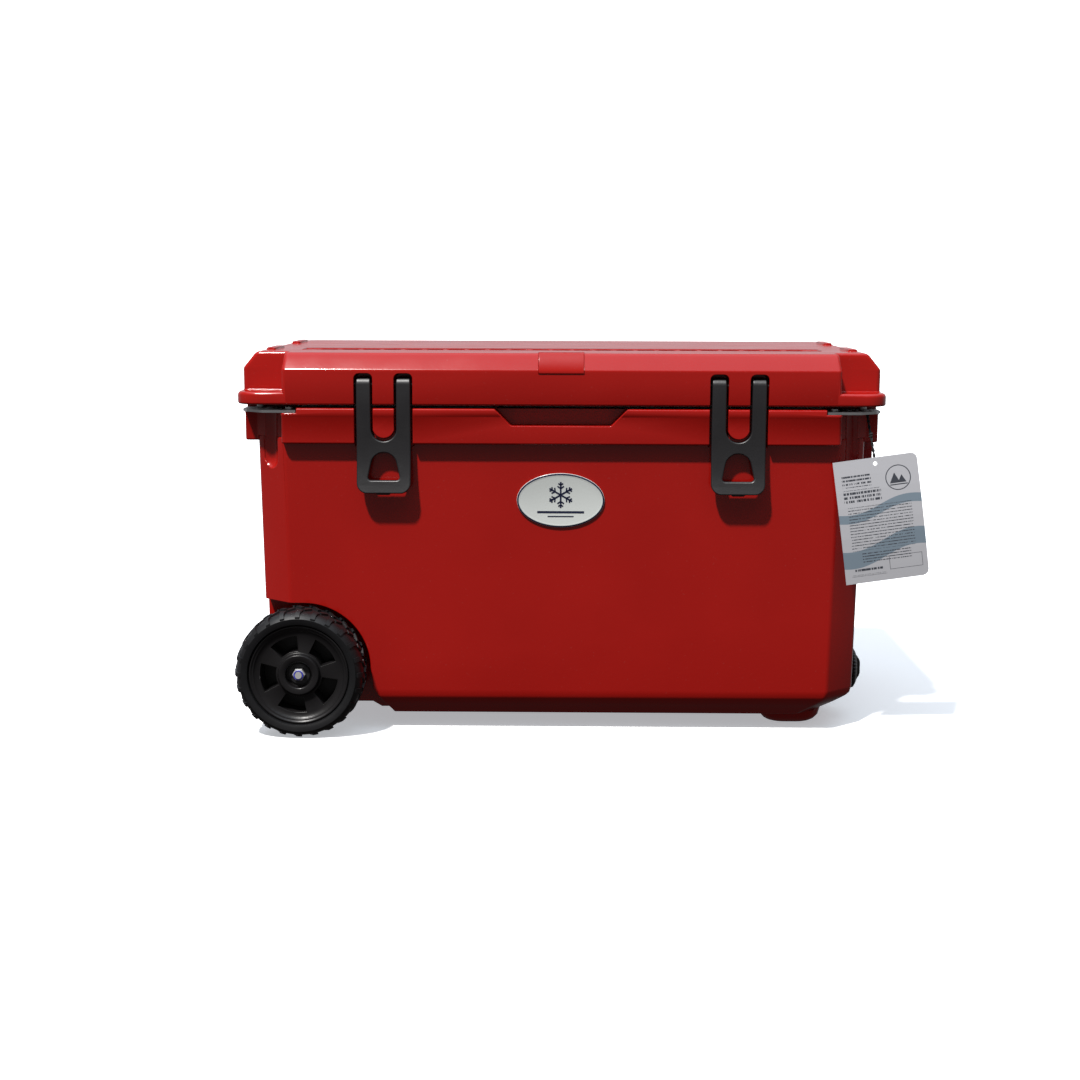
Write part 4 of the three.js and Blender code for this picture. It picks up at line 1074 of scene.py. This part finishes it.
class Shapes:
    """Masks on the tag's face, from u across and v up, in millimetres from the hole."""

    def __init__(self, tree):
        self.tree = tree
        hole = (TAG["x"] * MM, TAG["y"] * MM, TAG["z"] * MM)
        place = add_node(tree, "TexCoord", {}).outputs["Object"]
        place = add_node(tree, "VectorMath", {0: place, 1: hole}, operation="SUBTRACT").outputs[0]
        turn = {"Vector": place, "Angle": math.radians(TAG["tilt"])}
        place = add_node(tree, "VectorRotate", turn, rotation_type="Y_AXIS").outputs[0]
        place = add_node(tree, "VectorMath", {0: place, "Scale": 1 / MM}, operation="SCALE").outputs[0]
        split = add_node(tree, "SeparateXYZ", {0: place})
        self.u, self.v = split.outputs["X"], split.outputs["Z"]

    def math(self, operation, *values):
        """One Math node, on numbers or other nodes' outputs."""
        return add_node(self.tree, "Math", dict(enumerate(values)), operation=operation).outputs[0]

    def both(self, *masks):
        """Where all the masks are on."""
        out = masks[0]
        for mask in masks[1:]:
            out = self.math("MULTIPLY", out, mask)
        return out

    def either(self, *masks):
        """Where any mask is on."""
        out = masks[0]
        for mask in masks[1:]:
            out = self.math("MAXIMUM", out, mask)
        return out

    def between(self, value, low, high):
        return self.both(self.math("GREATER_THAN", value, low), self.math("LESS_THAN", value, high))

    def rect(self, u0, u1, v0, v1):
        return self.both(self.between(self.u, u0, u1), self.between(self.v, v0, v1))

    def lines(self, u0, u1, v0, v1, pitch, share, grain):
        """Rows of short ragged dashes that read as print from a distance, with no letters in them."""
        row = self.math("FRACT", self.math("DIVIDE", self.v, pitch))
        step = self.math("FLOOR", self.math("DIVIDE", self.v, pitch))
        along = self.math("MULTIPLY", self.u, grain)
        spot = add_node(self.tree, "CombineXYZ", {0: along, 1: self.math("MULTIPLY", step, 7.3)})
        ragged = add_node(self.tree, "TexNoise", {"Vector": spot.outputs[0], "Scale": 1, "Detail": 0})
        ink = self.math("GREATER_THAN", ragged.outputs["Fac"], 0.42)
        return self.both(self.rect(u0, u1, v0, v1), self.math("LESS_THAN", row, share), ink)

    def wave(self, middle, slope, swing, length, half):
        """A wavy band across the card."""
        swell = self.math("MULTIPLY", self.math("SINE", self.math("DIVIDE", self.u, length)), swing)
        line = self.math("ADD", self.math("ADD", self.math("MULTIPLY", self.u, slope), swell), middle)
        return self.math("LESS_THAN", self.math("ABSOLUTE", self.math("SUBTRACT", self.v, line)), half)

    def ring(self, u, v, r, half):
        """A circle's line, half as wide again on each side as half says."""
        du, dv = self.math("SUBTRACT", self.u, u), self.math("SUBTRACT", self.v, v)
        distance = self.math("SQRT", self.math("ADD", self.both(du, du), self.both(dv, dv)))
        return self.math("LESS_THAN", self.math("ABSOLUTE", self.math("SUBTRACT", distance, r)), half)

    def peak(self, u, v, half, height):
        """A filled triangle standing on v."""
        away = self.math("ABSOLUTE", self.math("SUBTRACT", self.u, u))
        rise = self.math("SUBTRACT", height + v, self.math("MULTIPLY", away, height / half))
        return self.both(self.math("GREATER_THAN", self.v, v), self.math("LESS_THAN", self.v, rise))


def tag_card():
    """Coated card, printed with wave bands, rows of dashes and a round peak emblem."""
    paper = (0.47, 0.475, 0.51)
    made, tree, shader = material("tag_card", paper, 0.45)
    shapes = Shapes(tree)
    bands = shapes.either(shapes.wave(-52, 0.12, 5, 17, 5), shapes.wave(-98, 0.10, 7, 20, 10))
    dashes = shapes.either(
        shapes.lines(-40, -7, -24, -9, 4.2, 0.5, 0.9),
        shapes.lines(-40, 3, -42, -27, 4.6, 0.6, 0.8),
        shapes.lines(-37, 36, -98, -47, 3.4, 0.3, 1.3),
        shapes.lines(-26, 30, -112, -101, 3.2, 0.35, 1.2),
        shapes.lines(-36, -4, -124, -118.6, 5.3, 0.5, 0.7),
        shapes.lines(-40, 0, -129, -126, 1.6, 0.3, 1.4),
    )
    emblem = shapes.either(
        shapes.ring(24, -19, 14, 0.55),
        shapes.peak(20, -25, 6, 12),
        shapes.peak(28, -25, 5, 9),
        shapes.rect(14, 34, -27.5, -26.2),
    )
    frame_box = shapes.rect(4, 42, -124, -108)
    inside_box = shapes.rect(4.5, 41.5, -123.5, -108.5)
    rule = shapes.math("SUBTRACT", frame_box, inside_box)
    ink = shapes.either(dashes, emblem, rule)
    banded = blend_colors(tree, bands, paper, (0.19, 0.245, 0.30))
    printed = blend_colors(tree, ink, banded, (0.05, 0.055, 0.07))
    tree.links.new(printed, shader.inputs["Base Color"])
    bump(tree, shader, noise(tree, 500, 2), 0.1, 0.0002)
    return made


def string_path():
    """The middle of the tag's string, the same route as in the CAD, in millimetres."""
    return [
        (351, -190, 377),
        (351.8, -192, 370),
        (353, -195, 361),
        (354.6, -198, 351),
        (356.2, -200.8, 341),
        (357.6, -203.2, 332),
        (358.5, -204.8, 324.6),
    ]


def smooth_path(points, per_span):
    """Points along a Catmull-Rom curve through the given ones."""
    pts = [Vector(p) for p in points]
    out = []
    for i in range(len(pts) - 1):
        p0 = pts[max(i - 1, 0)]
        p1, p2 = pts[i], pts[i + 1]
        p3 = pts[min(i + 2, len(pts) - 1)]
        for s in range(per_span):
            t = s / per_span
            curve = (2 * p0 - 5 * p1 + 4 * p2 - p3) * t**2 + (3 * p1 - p0 - 3 * p2 + p3) * t**3
            out.append(0.5 * (2 * p1 + (p2 - p0) * t + curve))
    out.append(pts[-1])
    return out


def strand(bm, path, r, orbit, phase, twists, sides=8):
    """One strand wound round the path."""
    sections = []
    for i, point in enumerate(path):
        along = (path[min(i + 1, len(path) - 1)] - path[max(i - 1, 0)]).normalized()
        a = along.cross(Vector((0, 1, 0))).normalized()
        b = along.cross(a)
        t = phase + twists * 2 * math.pi * i / (len(path) - 1)
        centre = point + (a * math.cos(t) + b * math.sin(t)) * orbit
        ring = []
        for k in range(sides):
            u = 2 * math.pi * k / sides
            ring.append(centre + (a * math.cos(u) + b * math.sin(u)) * r)
        sections.append(ring)
    rings(bm, sections)


def make_string():
    """Two twisted strands with a knot, from the steel plate's hole to the tag."""
    path = smooth_path(string_path(), 10)
    bm = bmesh.new()
    for phase in (0, math.pi):
        strand(bm, path, 0.85, 0.85, phase, 4.5)
    middle = path[len(path) // 2]
    knot = []
    for i in range(17):
        t = math.radians(45 * i)
        knot.append(middle + Vector((1.5 * math.cos(t), 1.5 * math.sin(t), 0.4 * t - 2.5)))
    strand(bm, knot, 0.95, 0.0, 0, 1)
    made = soften(add_object("string", bm), 0, angle=60)
    finished(made, "tag_string_twisted", CORD, "tub", ["tag_string"])
    return made


def dress_tag():
    """Prints the card on the CAD's hang tag."""
    tag = frame["nodes"]["hang_tag"]
    tag.data.materials.clear()
    tag.data.materials.append(tag_card())
    soften(tag, 0, angle=35)


# ---- stage


def make_floor():
    """A pale floor that curves up into a pale backdrop. Neither tints the cooler."""
    bm = bmesh.new()
    edge, start, r, rise, slope = 9000, 2600, 3000, 6000, 40
    profile = [(-edge, 0), (start, 0)]
    for degrees in range(5, slope + 1, 5):
        t = math.radians(degrees)
        profile.append((start + r * math.sin(t), r * (1 - math.cos(t))))
    y, z = profile[-1]
    profile.append((y + rise, z + rise * math.tan(math.radians(slope))))
    rows = [[bm.verts.new((x, y, z)) for x in (-edge, edge)] for y, z in profile]
    for low, high in zip(rows, rows[1:]):
        bm.faces.new((low[0], low[1], high[1], high[0]))
    floor = add_object("studio_floor", bm)
    for polygon in floor.data.polygons:
        polygon.use_smooth = True
    look, tree, shader = material("studio_paper", (0.86, 0.86, 0.87), 0.8, specular=0.1)
    tone = blend_colors(tree, noise(tree, 3, 2), (0.85, 0.85, 0.86), (0.88, 0.88, 0.88))
    tree.links.new(tone, shader.inputs["Base Color"])
    shader.inputs["Emission Color"].default_value = (0.93, 0.96, 1.0, 1)
    shader.inputs["Emission Strength"].default_value = 0.42
    floor.data.materials.append(look)
    floor.visible_glossy = False
    floor.visible_diffuse = False


def make_sun():
    """One soft sun, high in front and a little to the left."""
    sun = bpy.data.lights.new("sun", "SUN")
    sun.energy = 5.0
    sun.angle = math.radians(3.2)
    sun.color = (1, 0.97, 0.93)
    sun_object = bpy.data.objects.new("sun", sun)
    bpy.context.scene.collection.objects.link(sun_object)
    sun_object.rotation_euler = Vector((0.32, 0.53, -1)).to_track_quat("-Z", "Y").to_euler()


def make_sky():
    """Bright straight above, grey low down at the back, and dark elsewhere."""
    world = bpy.data.worlds.new("sky")
    bpy.context.scene.world = world
    world.use_nodes = True
    tree = world.node_tree
    back = tree.nodes["Background"]
    place = add_node(tree, "TexCoord", {}).outputs["Generated"]
    split = add_node(tree, "SeparateXYZ", {0: place})
    overhead = ramp(tree, split.outputs["Z"], 0.62, 0.92, 0.0, 1.0)
    behind = ramp(tree, split.outputs["Y"], 0.3, 0.9, 0.0, 1.0)
    low_sky = blend_colors(tree, behind, (0.17, 0.165, 0.165), (0.50, 0.50, 0.53))
    below = ramp(tree, split.outputs["Z"], -0.5, -0.1, 0.0, 1.0)
    low = blend_colors(tree, below, (0.05, 0.045, 0.045), low_sky)
    color = blend_colors(tree, overhead, low, (1.25, 1.45, 1.65))
    tree.links.new(color, back.inputs["Color"])
    back.inputs["Strength"].default_value = 1.0


def make_camera():
    """Matches the view: about 2.2 m in front and 0.53 m up, looking a little down and to the left."""
    forward, right, up = Vector((0, 1, 0)), Vector((1, 0, 0)), Vector((0, 0, 1))
    yaw = Matrix.Rotation(math.radians(0.716), 3, up)
    forward, right = yaw @ forward, yaw @ right
    pitch = Matrix.Rotation(-math.radians(8.6), 3, right)
    forward, up = pitch @ forward, pitch @ up
    roll = Matrix.Rotation(-math.radians(0.18), 3, forward)
    right, up = roll @ right, roll @ up
    data = bpy.data.cameras.new("camera")
    data.lens = 58.0
    data.sensor_width = 36
    data.clip_end = 60
    made = bpy.data.objects.new("camera", data)
    bpy.context.scene.collection.objects.link(made)
    turn = Matrix((right, up, -forward)).transposed().to_4x4()
    made.matrix_world = Matrix.Translation((0.0012, -2.190, 0.5295)) @ turn
    bpy.context.scene.camera = made


make_camera()
make_string()
dress_tag()
make_lid()
make_ruler_shade_linings()
make_tub()
make_latch("latch_left", -LATCH["x"])
make_latch("latch_right", LATCH["x"])
make_wheels()
make_badge()
make_emblem()
make_grip()
make_drain_cap()
dress_cad_nodes()
make_floor()
make_sun()
make_sky()
bpy.context.scene.view_settings.view_transform = "Standard"
